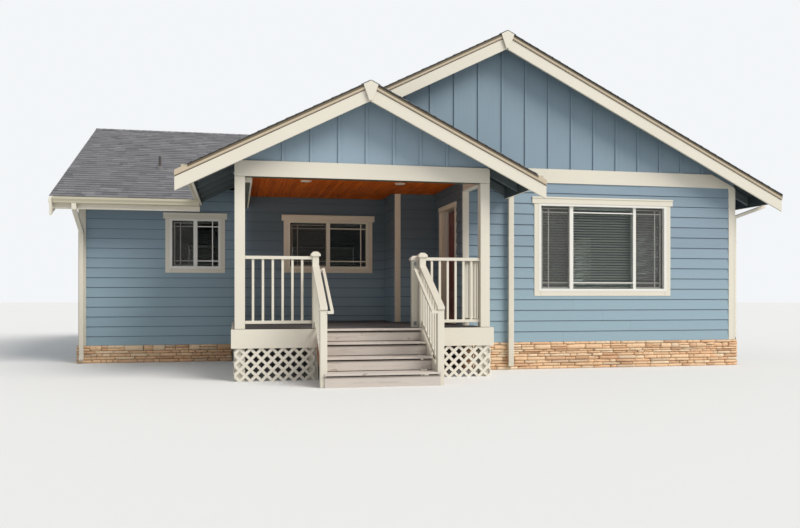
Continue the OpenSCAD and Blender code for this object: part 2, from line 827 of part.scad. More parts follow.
module lattice_skirt() {
    high = deck_z - rim_h - 1;
    y = -rim_out + rim_t;
    color("ivory") {
        translate([0, y, 0]) rotate([90, 0, 0]) lattice_panel(stair_x - 60, high);
        translate([newel2_x + 60, y, 0]) rotate([90, 0, 0])
            lattice_panel(porch_w - newel2_x - 60, high);
        translate([y, y + 2, 0]) rotate([90, 0, 90])
            lattice_panel(porch_d - stone_t - y - 4, high);
        translate([porch_w - y - 16, y + 2, 0]) rotate([90, 0, 90])
            lattice_panel(front_set - stone_t - y - 4, high);
    }
}

// A frame of mullions and rails round its panes, lying in X and Z with its front at y 0.
module window_frame(w, h, mullions) {
    side = 40;
    half = 30;
    depth = 98;
    rotate([90, 0, 0]) translate([0, 0, -depth]) linear_extrude(depth) difference() {
        square([w, h]);
        stops = concat([0], mullions, [w]);
        for (k = [0 : len(stops) - 2]) {
            a = stops[k] + (k == 0 ? side : half);
            b = stops[k + 1] - (k == len(stops) - 2 ? side : half);
            translate([a, side]) square([b - a, h - 2 * side]);
        }
    }
}

module window_frames() {
    back = 2;
    color("white") {
        translate([front_x, front_set + back, front_head_z - front_window[1]])
            window_frame(front_window[0], front_window[1], [564, 1719]);
        translate([porch_x, porch_d + back, head_z - porch_window[1]])
            window_frame(porch_window[0], porch_window[1], [porch_window[0] / 2]);
        translate([small_x, porch_d + back, head_z - small_window[1]])
            window_frame(small_window[0], small_window[1], [small_window[0] / 2]);
        for (w = right_windows)
            translate([right_x - back, w[0], head_z - side_h]) rotate([0, 0, 90])
                window_frame(w[1], side_h, [w[1] / 2]);
        for (w = left_windows)
            translate([left_x + back, w[0] + w[1], head_z - side_h]) rotate([0, 0, -90])
                window_frame(w[1], side_h, [w[1] / 2]);
        for (w = rear_windows)
            translate([w[0] + w[1], rear_y - back, head_z - side_h]) rotate([0, 0, 180])
                window_frame(w[1], side_h, [w[1] / 2]);
    }
}

// One sheet of glass behind each frame.
module window_glass() {
    back = 101;
    t = 8;
    color("lightblue") {
        block([front_x + 5, front_set + back, front_head_z - front_window[1] + 5],
              [front_x + front_window[0] - 5, front_set + back + t, front_head_z - 5]);
        block([porch_x + 5, porch_d + back, head_z - porch_window[1] + 5],
              [porch_x + porch_window[0] - 5, porch_d + back + t, head_z - 5]);
        block([small_x + 5, porch_d + back, head_z - small_window[1] + 5],
              [small_x + small_window[0] - 5, porch_d + back + t, head_z - 5]);
        for (w = right_windows)
            block([right_x - back - t, w[0] + 5, head_z - side_h + 5],
                  [right_x - back, w[0] + w[1] - 5, head_z - 5]);
        for (w = left_windows)
            block([left_x + back, w[0] + 5, head_z - side_h + 5],
                  [left_x + back + t, w[0] + w[1] - 5, head_z - 5]);
        for (w = rear_windows)
            block([w[0] + 5, rear_y - back - t, head_z - side_h + 5],
                  [w[0] + w[1] - 5, rear_y - back, head_z - 5]);
    }
}

// Flat boards round an opening of w by h, with a wider and thicker head board and a drip
// cap that stands out a little more.
module surround(w, h) {
    ears = 38;
    head_h = 86;
    head_t = trim_t + 10;
    drip_h = 27;
    drip_t = head_t + 12;
    head_w = w + 2 * trim_w + 2 * ears;
    translate([-trim_w, -trim_t, -trim_w]) cube([trim_w - 1, trim_t, h + trim_w]);
    translate([w + 1, -trim_t, -trim_w]) cube([trim_w - 1, trim_t, h + trim_w]);
    translate([1, -trim_t, -trim_w]) cube([w - 2, trim_t, trim_w - 1]);
    translate([-trim_w - ears, -head_t, h + 1]) cube([head_w, head_t, head_h]);
    translate([-trim_w - ears, -drip_t, h + 1 + head_h]) cube([head_w, drip_t, drip_h]);
}

// Narrower boards on the wall round the door.
module door_casing() {
    inner = rough_half - 15;
    outer = inner + 80;
    low = rough_top - 30;
    for (side = [-outer, inner])
        block([door_wall_x - trim_t, door_y + side, deck_z + 1],
              [door_wall_x, door_y + side + outer - inner, low - 1]);
    block([door_wall_x - trim_t - 8, door_y - outer, low],
          [door_wall_x, door_y + outer, low + 80]);
}

// The boards round every window and round the door.
module opening_trim() {
    color("ivory") {
        translate([front_x, front_set, front_head_z - front_window[1]])
            surround(front_window[0], front_window[1]);
        translate([porch_x, porch_d, head_z - porch_window[1]])
            surround(porch_window[0], porch_window[1]);
        translate([small_x, porch_d, head_z - small_window[1]])
            surround(small_window[0], small_window[1]);
        for (w = right_windows)
            translate([right_x, w[0], head_z - side_h]) rotate([0, 0, 90])
                surround(w[1], side_h);
        for (w = left_windows)
            translate([left_x, w[0] + w[1], head_z - side_h]) rotate([0, 0, -90])
                surround(w[1], side_h);
        for (w = rear_windows)
            translate([w[0] + w[1], rear_y, head_z - side_h]) rotate([0, 0, 180])
                surround(w[1], side_h);
        door_casing();
    }
}

// Jambs, head and sill, with a stop on both jambs and the head that the door shuts to.
module door_frame() {
    y0 = door_y - rough_half;
    y1 = door_y + rough_half;
    x1 = door_wall_x + wall_t;
    stop = 13;
    stop_x = leaf_x - 6;
    color("ivory") {
        block([door_wall_x, y0, deck_z], [x1, y0 + jamb_t, rough_top]);
        block([stop_x - 35, y0, deck_z + sill_h], [stop_x, y0 + jamb_t + stop, rough_top]);
        block([door_wall_x, y1 - jamb_t, deck_z], [x1, y1, rough_top]);
        block([stop_x - 35, y1 - jamb_t - stop, deck_z + sill_h], [stop_x, y1, rough_top]);
        block([door_wall_x, y0 + jamb_t + 1 + stop, rough_top - jamb_t],
              [x1, y1 - jamb_t - 1 - stop, rough_top]);
        block([door_wall_x, y0 + jamb_t + 1, deck_z],
              [x1, y1 - jamb_t - 1, deck_z + sill_h - 1]);
    }
}

module door_leaf() {
    color("darkred") difference() {
        block([leaf_x, leaf_y, leaf_z], [leaf_x + leaf_t, leaf_y + door_w, leaf_z + door_h]);
        translate([leaf_x - 1, door_y - lite[0] / 2, lite_z])
            cube([leaf_t + 2, lite[0], lite[1]]);
    }
}

module door_glass() {
    color("lightblue")
        block([leaf_x + 18, door_y - lite[0] / 2, lite_z],
              [leaf_x + 26, door_y + lite[0] / 2, lite_z + lite[1]]);
}

// A lever on a round rose and a bolt's rose above it, on both faces of the door, and the
// three hinges that it turns on.
module door_hardware() {
    z = leaf_z + 920;
    y = leaf_y + 65;
    rose = 56;
    plate = [4, 50, 100];
    color("silver") {
        for (side = [-1, 1]) {
            x = side < 0 ? leaf_x : leaf_x + leaf_t;
            translate([x, y, z]) rotate([0, 90 * side, 0]) cylinder(h = 9, d = rose);
            translate([x, y, z]) rotate([0, 90 * side, 0]) cylinder(h = 44, d = 20);
            translate([x + side * 40, y, z]) rotate([-90, 0, 0]) cylinder(h = 110, d = 16);
            translate([x, y, z + 130]) rotate([0, 90 * side, 0]) cylinder(h = 14, d = rose);
        }
        for (up = [180, 915, 1650]) {
            translate([hinge_x, hinge_y, leaf_z + up]) cylinder(h = plate[2], r = 5);
            translate([leaf_x + leaf_t, hinge_y - plate[1], leaf_z + up]) cube(plate);
        }
    }
}

placed() foundation();
placed() stone_base();
placed() floor();
placed() front_left_wall();
placed() porch_back_wall();
placed() recess_side_wall();
placed() recess_back_wall();
placed() door_side_walls();
placed() door_wall_head();
placed() front_right_wall();
placed() right_wall();
placed() rear_wall();
placed() left_wall();
placed() front_gable_wall();
placed() rear_gable_wall();
placed() porch_gable_wall();
placed() main_roof_left();
placed() main_roof_right();
placed() porch_roof_left();
placed() porch_roof_right();
placed() wing_roof_front();
placed() wing_roof_rear();
placed() main_barge_boards();
placed() porch_barge_boards();
placed() wing_barge_boards();
placed() ridge_caps();
placed() fascias();
placed() gutters();
placed() downspouts();
placed() band_boards();
placed() corner_boards();
placed() vent_pipe();
placed() porch_deck();
placed() rim_boards();
placed() porch_posts();
placed() porch_beams();
placed() porch_ceiling();
placed() porch_railings();
placed() stair_railings();
placed() handrails();
placed() newel_posts();
placed() stair_treads();
placed() stair_risers();
placed() stair_stringers();
placed() lattice_skirt();
placed() window_frames();
placed() window_glass();
placed() opening_trim();
placed() door_frame();
placed() door_leaf();
placed() door_glass();
placed() door_hardware();
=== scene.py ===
import bmesh
import bpy
import numpy as np
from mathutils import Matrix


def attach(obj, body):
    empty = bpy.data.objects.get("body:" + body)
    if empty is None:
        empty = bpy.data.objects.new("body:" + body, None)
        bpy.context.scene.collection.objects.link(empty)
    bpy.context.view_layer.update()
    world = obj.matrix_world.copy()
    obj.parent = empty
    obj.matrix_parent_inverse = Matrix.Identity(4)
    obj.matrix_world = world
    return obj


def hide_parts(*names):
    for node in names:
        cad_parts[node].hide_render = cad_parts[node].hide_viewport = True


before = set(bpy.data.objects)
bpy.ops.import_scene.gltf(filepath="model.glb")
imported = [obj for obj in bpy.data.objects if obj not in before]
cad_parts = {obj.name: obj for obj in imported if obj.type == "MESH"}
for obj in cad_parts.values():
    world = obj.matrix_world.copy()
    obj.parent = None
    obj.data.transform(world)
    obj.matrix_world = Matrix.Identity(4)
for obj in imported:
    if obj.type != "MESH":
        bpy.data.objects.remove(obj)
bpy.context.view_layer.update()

# The setting: a camera at chest height before the house, a wide pale floor, an even pale
# sky and one broad soft lamp high on the right. Distances are in metres from the left porch
# post's front corner, and MIDDLE is the frame's own origin in them.
MIDDLE = np.array([3.103, 5.696, 0.0])
scene = bpy.context.scene
scene.view_settings.view_transform = "Standard"


def put(name, data):
    """A new object of this data in the scene."""
    made = bpy.data.objects.new(name, data)
    scene.collection.objects.link(made)
    return made


lens = bpy.data.cameras.new("camera")
lens.sensor_width = 36.0
lens.lens = 35.505
lens.shift_y = 0.03875
lens.clip_end = 400.0
camera = put("camera", lens)
camera.location = np.array([0.027, -11.442, 1.230]) - MIDDLE
camera.rotation_euler = (np.pi / 2, 0.0, -0.2045)
scene.camera = camera

lamp = bpy.data.lights.new("broad lamp", "SUN")
lamp.energy = 2.7
lamp.angle = 0.6
lamp.color = (1.0, 0.97, 0.92)
put("broad lamp", lamp).rotation_euler = (0.85, 0.0, 0.75)


class Wire:
    """One socket of a material. Sums on it add Math nodes, and node() adds any other node.

    An input is named as on the node, with _ for a space, or i and its number. A ramp's
    stops are (place, colour) pairs.
    """

    def __init__(self, tree, socket=None):
        self.tree, self.socket = tree, socket

    def node(self, kind, settings=None, out=0, **inputs):
        made = self.tree.nodes.new("ShaderNode" + kind)
        for key, value in (settings or {}).items():
            if key == "stops":
                ramp = made.color_ramp.elements
                while len(ramp) < len(value):
                    ramp.new(1.0)
                for element, (place, colour) in zip(ramp, value):
                    element.position = place
                    element.color = (*colour, 1.0)
            else:
                setattr(made, key, value)
        for key, value in inputs.items():
            socket = made.inputs[int(key[1:]) if key[1:].isdigit() else key.replace("_", " ")]
            if isinstance(value, Wire):
                self.tree.links.new(value.socket, socket)
            elif socket.type == "RGBA" and len(value) == 3:
                socket.default_value = (*value, 1.0)
            else:
                socket.default_value = value
        return Wire(self.tree, made.outputs[out] if made.outputs else None)

    def sum(self, operation, *terms):
        return self.node("Math", {"operation": operation},
                         **{"i%d" % k: term for k, term in enumerate(terms)})

    def __add__(self, other):
        return self.sum("ADD", self, other)

    def __sub__(self, other):
        return self.sum("SUBTRACT", self, other)

    def __rsub__(self, other):
        return self.sum("SUBTRACT", other, self)

    def __mul__(self, other):
        return self.sum("MULTIPLY", self, other)

    def __gt__(self, other):
        return self.sum("GREATER_THAN", self, other)

    __radd__, __rmul__ = __add__, __mul__

    def clamp(self):
        return self.node("Clamp", Value=self)

    def mix(self, first, second, factor):
        return self.node("Mix", {"data_type": "RGBA"}, out=2, i0=factor, i6=first, i7=second)

    def at(self, axis):
        """The place along one axis, in the house's own distances."""
        place = self.node("SeparateXYZ", out=axis, Vector=self.node("TexCoord", out=3))
        return place + MIDDLE[axis]

    def noise(self, scale, stretch=(1.0, 1.0, 1.0), detail=4.0, rough=0.55):
        place = self.node("Mapping", Vector=self.node("TexCoord", out=3), Scale=stretch)
        return self.node("TexNoise", Vector=place, Scale=scale, Detail=detail, Roughness=rough)

    def point(self, name):
        return self.node("Attribute", {"attribute_name": name}, out=2)

    def finish(self, colour, roughness, height=None, depth=0.0, **others):
        """Joins the colour, roughness and a bump of height times depth to the surface."""
        if height is not None:
            others["Normal"] = self.node("Bump", Height=height, Distance=depth, Strength=1.0)
        surface = self.node("BsdfPrincipled", Base_Color=colour, Roughness=roughness, **others)
        self.node("OutputMaterial", Surface=surface)


def begin(name, kind=bpy.data.materials):
    """A new material, or world, and the Wire that starts its nodes."""
    made = kind.new(name)
    made.use_nodes = True
    made.node_tree.nodes.clear()
    return made, Wire(made.node_tree)


# The camera, gloss and glass see a paler sky than the one that lights the house.
scene.world, w = begin("pale sky", bpy.data.worlds)
seen = w.node("LightPath", out=0) + w.node("LightPath", out=3) + w.node("LightPath", out=6)
light = w.node("Background", Color=(0.93, 0.96, 1.0), Strength=0.52)
shown = w.node("Background", Color=(0.90, 0.92, 0.94), Strength=1.0)
w.node("OutputWorld", Surface=w.node("MixShader", i0=seen > 0.5, i1=light, i2=shown))

floor_paint, w = begin("pale floor")
w.finish((0.80, 0.80, 0.79), 0.9)
ground = bpy.data.meshes.new("pale floor")
ground.from_pydata([(-80, -60, 0), (80, -60, 0), (80, 120, 0), (-80, 120, 0)], [], [(0, 1, 2, 3)])
ground.materials.append(floor_paint)
put("pale floor", ground)


# Lap siding: tapered fibre cement boards with a shallow wood grain, nailed level with
# 178 mm showing, painted grey blue. They end at the corner boards and window trim.
RIGHT, BACK, UP = np.eye(3)


def eased(made, width):
    """A small bevel on a piece's sharp edges."""
    edge = made.modifiers.new("eased edges", "BEVEL")
    edge.width, edge.segments = width, 1
    edge.limit_method, edge.angle_limit = "ANGLE", 0.6


def surface(name, points, faces, paint, slot, body="house", nodes=(), bevel=0.0, **values):
    """A piece from points in house metres and faces, with named values per point."""
    mesh = bpy.data.meshes.new(name)
    mesh.from_pydata((np.reshape(points, (-1, 3)) - MIDDLE).tolist(), [], faces)
    for key, value in values.items():
        layer = mesh.attributes.new(key, "FLOAT", "POINT")
        layer.data.foreach_set("value", np.asarray(value, np.float32).ravel())
    work = bmesh.new()
    work.from_mesh(mesh)
    bmesh.ops.recalc_face_normals(work, faces=work.faces)
    work.to_mesh(mesh)
    work.free()
    mesh.materials.append(paint)
    made = put(name, mesh)
    if bevel:
        eased(made, bevel)
    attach(made, body)
    if nodes:
        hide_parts(*nodes)
    return made


CORNERS = np.array([[0, 1, 3, 2], [4, 6, 7, 5], [0, 4, 5, 1], [2, 3, 7, 6], [0, 2, 6, 4],
                    [1, 5, 7, 3]])


def copies(faces, points, count):
    """The faces of many like lumps, each with so many points."""
    return (faces + points * np.arange(count)[:, None, None]).reshape(-1, 4).tolist()


def boards(name, corners, paint, slot, seed=1, tone=None, **others):
    """Many eight-cornered boards in one piece. Corners are numbered by end, then side, then
    top, and each board has one tone, which is random from 0 to 1 unless it is given."""
    corners = np.reshape(corners, (-1, 8, 3))
    count = len(corners)
    tone = np.random.default_rng(seed).random(count) if tone is None else tone
    return surface(name, corners, copies(CORNERS, 8, count), paint, slot,
                   tone=np.repeat(tone, 8), **others)


def lay(origin, axes, *places):
    """Corners of boards: origin + a first axis + b second axis + c third axis, where a, b
    and c are arrays that broadcast to boards x 2 x 2 x 2."""
    return origin + np.stack(np.broadcast_arrays(*places), axis=-1) @ np.array(axes)


def beams(start, end, wide, deep):
    """Corners of straight boards: each runs from start to end, and wide and deep are the
    vectors across it, so a level vector makes a plumb cut at its ends."""
    start, end, wide, deep = np.broadcast_arrays(*map(np.atleast_2d, (start, end, wide, deep)))
    return np.stack([point + a * wide + b * deep
                     for point in (start, end) for a in (0, 1) for b in (0, 1)], axis=1)


def siding(name, porch_shade):
    """Siding paint, paler low down and darker high up: painted shade of the eaves over the upper
    wall. High up under the porch roof it is darker still, as painted shade of the porch roof; the
    second argument is the share of that painted shade. A thin dark line under each lap is painted
    shade too."""
    paint, w = begin(name)
    grain = w.noise(1.0, (3.0, 3.0, 90.0), 5.0)
    shade = w.mix((0.196, 0.275, 0.342), (0.220, 0.306, 0.374), w.point("tone"))
    shade = w.mix(shade, (0.248, 0.325, 0.380), w.noise(0.9, (1.0, 1.0, 2.5), 3.0) * 0.45)
    shade = w.mix(shade, (0.11, 0.17, 0.23), (grain > 0.62) * 0.12)
    # Paler low down, darker high up: painted shade of the eaves over the upper wall.
    shade = w.mix(shade, (0.272, 0.384, 0.446), (2.3 - w.at(2) * 1.1).clamp() * 0.8)
    # High up under the porch roof the siding is darkened: painted shade of the porch roof, by the
    # share given as the second argument.
    inside, high = ((w.at(0) - 0.003) * 3.0).clamp(), (w.at(2) - 1.4).clamp()
    shade = w.mix(shade, (0.060, 0.080, 0.078), inside * high * porch_shade)
    # A dark line along the top of each board, just under the lap above: painted shade.
    shade = w.mix(shade, (0.070, 0.105, 0.140), (w.point("rise") > 0.94) * 0.85)
    w.finish(shade, grain * 0.2 + 0.42, grain, 0.0012)
    return paint


# The porch walls' copy of the siding paint carries painted shade high up under the porch roof.
siding_paint, shaded_porch_siding = siding("siding paint", 0.0), siding("porch siding paint with painted shade", 0.65)

COURSE, LAP, LAP_TOP = 0.1778, 0.022, 0.007
PORCH_BACK, ROOM_FRONT, DOOR_FACE, RECESS_SIDE, RECESS_BACK = 3.644, 0.983, 3.645, 2.865, 2.717
RIGHT_FACE, REAR_FACE, LEFT_FACE = 8.602, 11.656, -2.731
WING_RIDGE, WING_PITCH = 7.65, 0.45
BASE_TOP, LEFT_BASE_TOP, DECK_TOP, CEILING = 0.45, 0.317, 0.74, 3.08
PORCH_COURSE, LEFT_COURSE = 0.6726, 0.305


def lap_wall(name, origin, along, out, low, high, ends, first=0.448, holes=(), kinks=(), seed=1,
             paint=siding_paint):
    """Level boards on a wall. origin, along and out place it; ends(z) gives where the boards
    start and end along it at height z; first is where one course starts, and holes are
    (start, end, low, high)."""
    edges = set(np.arange(first, high, COURSE)) | set(kinks) | {low, high}
    edges |= {z for hole in holes for z in hole[2:]}
    edges = sorted(z for z in edges if low - 1e-6 <= z <= high + 1e-6)
    rows = []
    for z0, z1 in zip(edges[:-1], edges[1:]):
        if z1 - z0 < 0.004:
            continue
        (a0, b0), (a1, b1) = ends(z0 + 1e-5), ends(z1 - 1e-5)
        level = [hole for hole in holes if hole[2] < 0.5 * (z0 + z1) < hole[3]]
        cuts = sorted([a0, b0] + [x for hole in level for x in hole[:2]])
        joint = 0.31 + 0.37 * ((seed + int(z0 / COURSE) * 7) % 10) / 10
        for k in range(0, len(cuts), 2):
            s0, e0 = cuts[k:k + 2]
            s1, e1 = (a1 if k == 0 else s0), (b1 if k + 2 == len(cuts) else e0)
            parts = [(0, joint, 0), (joint, 1, 0.002)] if e0 - s0 > 4.2 else [(0, 1, 0)]
            rows += [(s0 + f * (e0 - s0) + gap, s0 + g * (e0 - s0), s1 + f * (e1 - s1) + gap,
                      s1 + g * (e1 - s1), z0, z1) for f, g, gap in parts if e0 - s0 > 0.01]
    rows = np.array(rows)
    z0, z1 = rows[:, 4:5], rows[:, 5:]
    part = ((0.5 * (z0 + z1) - first) % COURSE + (z1 - z0) * (-0.5, 0.5)) / COURSE
    thick = LAP + (LAP_TOP - LAP) * part
    corners = lay(origin, (along, UP, out), rows[:, [[0, 2], [1, 3]]][..., None],
                  rows[:, None, 4:, None], thick[:, None, :, None] * (0, 1))
    boards(name, corners, paint, "siding", seed=seed,
           rise=np.tile(np.repeat(part, 2, axis=1), (1, 2)))


def around(x, width, head=2.636, tall=1.1):
    """The hole in the siding for a window whose frame starts at x."""
    return (x - 0.107, x + width + 0.107, head - tall - 0.107, head + 0.110)


RIGHT_WINDOWS, LEFT_WINDOWS = ((3.2, 1.22), (6.3, 1.22), (9.4, 0.844)), ((5.6, 1.22), (9.0, 1.22))
REAR_WINDOWS = ((-1.3, 1.22), (1.6, 1.8), (5.2, 1.22), (7.0, 0.844))
lap_wall("siding_front_left", PORCH_BACK * BACK, RIGHT, -BACK, LEFT_BASE_TOP, 3.185,
         lambda z: (-2.626, 2.865), LEFT_COURSE,
         [around(-1.140, 0.850, tall=0.885), around(1.014, 1.480, tall=0.872)], seed=3,
         paint=shaded_porch_siding)
lap_wall("siding_recess_side", RECESS_SIDE * RIGHT, BACK, -RIGHT, DECK_TOP, CEILING,
         lambda z: (2.717, 3.624), PORCH_COURSE, seed=4, paint=shaded_porch_siding)
lap_wall("siding_recess_back", RECESS_BACK * BACK, RIGHT, -BACK, DECK_TOP, CEILING,
         lambda z: (2.970, 3.645), PORCH_COURSE, seed=5, paint=shaded_porch_siding)
lap_wall("siding_door_wall", DOOR_FACE * RIGHT, BACK, -RIGHT, DECK_TOP, CEILING,
         lambda z: (0.983, 2.697), PORCH_COURSE, [(1.296, 2.416, 0.7, 2.796)], seed=6,
         paint=shaded_porch_siding)
lap_wall("siding_front_right", ROOM_FRONT * BACK, RIGHT, -BACK, BASE_TOP, 3.105,
         lambda z: (3.749, 8.498), holes=[around(4.992, 2.270, 2.756, 1.432)], seed=7)
lap_wall("siding_right", RIGHT_FACE * RIGHT, BACK, RIGHT, BASE_TOP, 3.263,
         lambda z: (1.087, 11.552), holes=[around(*place) for place in RIGHT_WINDOWS], seed=8)
lap_wall("siding_rear", REAR_FACE * BACK, RIGHT, BACK, BASE_TOP, 3.185,
         lambda z: (-2.731, 8.602), holes=[around(*place) for place in REAR_WINDOWS], seed=9)
lap_wall("siding_left", LEFT_FACE * RIGHT, BACK, -RIGHT, LEFT_BASE_TOP, 4.975,
         lambda z: (max(3.748, WING_RIDGE - (4.988 - z) / WING_PITCH),
                    min(11.552, WING_RIDGE + (4.988 - z) / WING_PITCH)), LEFT_COURSE,
         [around(*place) for place in LEFT_WINDOWS], (3.2326,), 10)


# Gable faces: flat painted panels with 38 mm battens over their joints, 406 mm apart,
# running up to the roof boards. The rear gable repeats the front one.
def pitched(peak, pitch, ridge, axis=0):
    """The height of a roof's surface over x and y: its peak less the pitch times the
    distance from its ridge, along one axis."""
    return lambda *place: peak - pitch * np.abs(place[axis] - ridge)


MAIN_RIDGE, MAIN_PEAK, PORCH_RIDGE, PORCH_PEAK, WING_PEAK = 4.288, 5.465, 1.896, 4.269, 5.033
main_top, porch_top = pitched(MAIN_PEAK, 0.5, MAIN_RIDGE), pitched(PORCH_PEAK, 0.5, PORCH_RIDGE)
wing_top = pitched(WING_PEAK, WING_PITCH, WING_RIDGE, 1)
ROOF_UNDER = 0.045


def skin(rings):
    """A closed tube through rings of points: a face between each two neighbours of one ring
    and those of the next, and one face over each end."""
    rings = np.array(rings)
    at = np.arange(rings.size // 3).reshape(rings.shape[:2])
    on = np.roll(at, -1, axis=1)
    faces = np.stack([at[:-1], on[:-1], on[1:], at[1:]], axis=-1).reshape(-1, 4).tolist()
    return rings.reshape(-1, 3), faces + [at[0, ::-1].tolist(), at[-1].tolist()]


def panel(name, painted_light):
    """Panel paint, laid over with a share of a paler colour: painted light, for a copy of the
    paint lit brighter.
    """
    paint, w = begin(name)
    grain = w.noise(1.0, (70.0, 70.0, 2.5), 5.0)
    shade = w.mix((0.200, 0.283, 0.347), (0.230, 0.313, 0.375), w.noise(1.1, detail=3.0))
    shade = w.mix(shade, (0.11, 0.16, 0.22), (grain > 0.64) * 0.10)
    # Painted light: a share of a paler colour.
    shade = w.mix(shade, (0.36, 0.47, 0.56), painted_light)
    w.finish(shade, grain * 0.2 + 0.42, grain, 0.0012)
    return paint


def gable_panel(name, head, foot, y, paint):
    """A flat board 8 mm thick, from a level foot up to (across, up) points on the roof."""
    head = np.array(head) - (0, ROOF_UNDER)
    x, z = np.vstack([head, [(head[-1, 0], foot), (head[0, 0], foot)]]).T
    surface(name, *skin([np.stack([x, 0 * x + side, z], axis=1) for side in (y, y + 0.008)]),
            paint, "siding")


# The porch gable's copy is painted half way to the paler colour: painted light, as if it stood in
# more light.
panel_paint, painted_lit_porch_panel = panel("panel paint", 0.0), panel("porch panel paint, painted lighter", 0.5)
gable_panel("porch_gable_panel", [(3.792, porch_top(3.792)), (PORCH_RIDGE, PORCH_PEAK),
                                  (0.0, porch_top(0.0))], 3.153, 0.032, painted_lit_porch_panel)
for name, y in (("front_gable_panel", ROOM_FRONT - 0.008), ("rear_gable_panel", REAR_FACE)):
    gable_panel(name, [(RIGHT_FACE, main_top(RIGHT_FACE)), (MAIN_RIDGE, MAIN_PEAK),
                       (-0.026, main_top(0.026))], 3.12, y, panel_paint)


def battens(name, xs, y, foot, top, step, seed, paint=panel_paint):
    """Upright strips at xs from foot(x) up to a roof, each cut to the slope at its head."""
    x = np.stack([xs - 0.019, xs + 0.019], axis=1)
    z = np.stack([foot(x), top(x) - ROOF_UNDER], axis=2)
    boards(name, lay(0, (RIGHT, BACK, UP), x[:, :, None, None], y + step * np.arange(2),
                     z[..., None]), paint, "siding", seed=seed, bevel=0.002)


battens("porch_battens", 0.685 + 0.4064 * np.arange(7), 0.032, lambda x: 0 * x + 3.153, porch_top,
        -0.019, 21, painted_lit_porch_panel)
battens("front_battens", 2.701 + 0.4064 * np.arange(15), 0.975,
        lambda x: np.maximum(3.333, porch_top(x)), main_top, -0.019, 22)
battens("rear_battens", 0.644 + 0.4064 * np.arange(19), 11.664, lambda x: 0 * x + 3.333, main_top,
        0.019, 23)


# Roof shingles: laminated asphalt shingles, each course 143 mm to the weather with random
# thick tabs, on thin roof boards. The courses are cut off in the valleys.
shingle, w = begin("asphalt shingle")
speck = w.noise(260.0, detail=2.0)
shade = w.node("ValToRGB", {"stops": [(0.0, (0.105, 0.107, 0.118)), (0.35, (0.150, 0.151, 0.162)),
                                      (0.7, (0.185, 0.185, 0.196)), (1.0, (0.230, 0.228, 0.238))]},
               Fac=w.point("tone"))
shade = w.mix(shade, (0.11, 0.112, 0.122), w.noise(0.7, detail=3.0) * 0.25)
# A darker band just under each course's lower edge: partly the dark printed band of laminated
# shingles, partly painted shade under the course above.
shade = w.mix(shade, (0.045, 0.046, 0.052), (w.point("rise") > 0.70) * 0.55)
shade = w.mix(shade, (0.42, 0.40, 0.40), (speck > 0.60) * 0.35)
shade = w.mix(shade, (0.04, 0.04, 0.046), (0.40 - speck > 0.0) * 0.4)
w.finish(shade, 0.92, speck, 0.0015)

TAB, RAKE_OVER = 0.143, 0.015


def on_slope(start, along, climb, u, v, d):
    """Corners of many thin slabs on a slope: start + u along + v climb + d normal, where u
    and v are N x 2 ranges and d is N x 2 x 2 x 2 heights, by u, v and side."""
    normal = np.cross(along, climb)
    return lay(start, (along, climb, normal * np.sign(normal[2])), u[:, :, None, None],
               v[:, None, :, None], d)


def cut(made, planes):
    """Takes away what lies on the normal side of each (point, normal) plane, and closes the
    piece where it was cut."""
    work = bmesh.new()
    work.from_mesh(made.data)
    for point, away in planes:
        edges = bmesh.ops.bisect_plane(work, geom=work.verts[:] + work.edges[:] + work.faces[:],
                                       plane_co=point - MIDDLE, plane_no=away,
                                       clear_outer=True)["geom_cut"]
        bmesh.ops.holes_fill(work, edges=[e for e in edges if isinstance(e, bmesh.types.BMEdge)])
    work.to_mesh(made.data)
    work.free()


def roof(name, start, along, climb, length, climbs, cuts=(), seed=1, nodes=(), over=RAKE_OVER):
    """The shingles of one slope. start is its lower corner on the finished surface, along
    its eave and climb up it, both unit vectors, and climbs its length up. They pass the far
    rake by over. What is on the normal side of a (point, normal) cut is taken away. Each
    tab is a wedge, thickest at its lower edge."""
    random = np.random.default_rng(seed)
    u, v, d = [], [], []
    for row in range(int(np.ceil((climbs + 0.02) / TAB))):
        low = row * TAB - 0.02
        ends = np.cumsum(random.choice([0.11, 0.16, 0.21, 0.27], int((length + 1) / 0.11)))
        ends = np.clip(ends - random.random() * 0.3 - RAKE_OVER, -RAKE_OVER, length + over)
        begins = np.concatenate([[-RAKE_OVER], ends[:-1]])
        keep = ends - begins > 0.004
        count = keep.sum()
        u.append(np.stack([begins[keep], ends[keep] - 0.001], axis=1))
        v.append(np.stack([low + random.uniform(-0.004, 0.004, count),
                           np.full(count, min(low + TAB + 0.02, climbs))], axis=1))
        high = np.stack([0.006 + 0.006 * random.random(count), np.full(count, 0.003)], axis=1)
        d.append(np.stack([np.full((count, 2), -0.002), high], axis=2)[:, None])
    u, v, d = (np.concatenate(part) for part in (u, v, d))
    cut(boards(name, on_slope(start, along, climb, u, v, d), shingle, "shingles", nodes=nodes,
               tone=np.clip(random.normal(0.5, 0.22, len(u)), 0, 1),
               rise=np.tile([0, 0, 1, 1], 2 * len(u))), cuts)


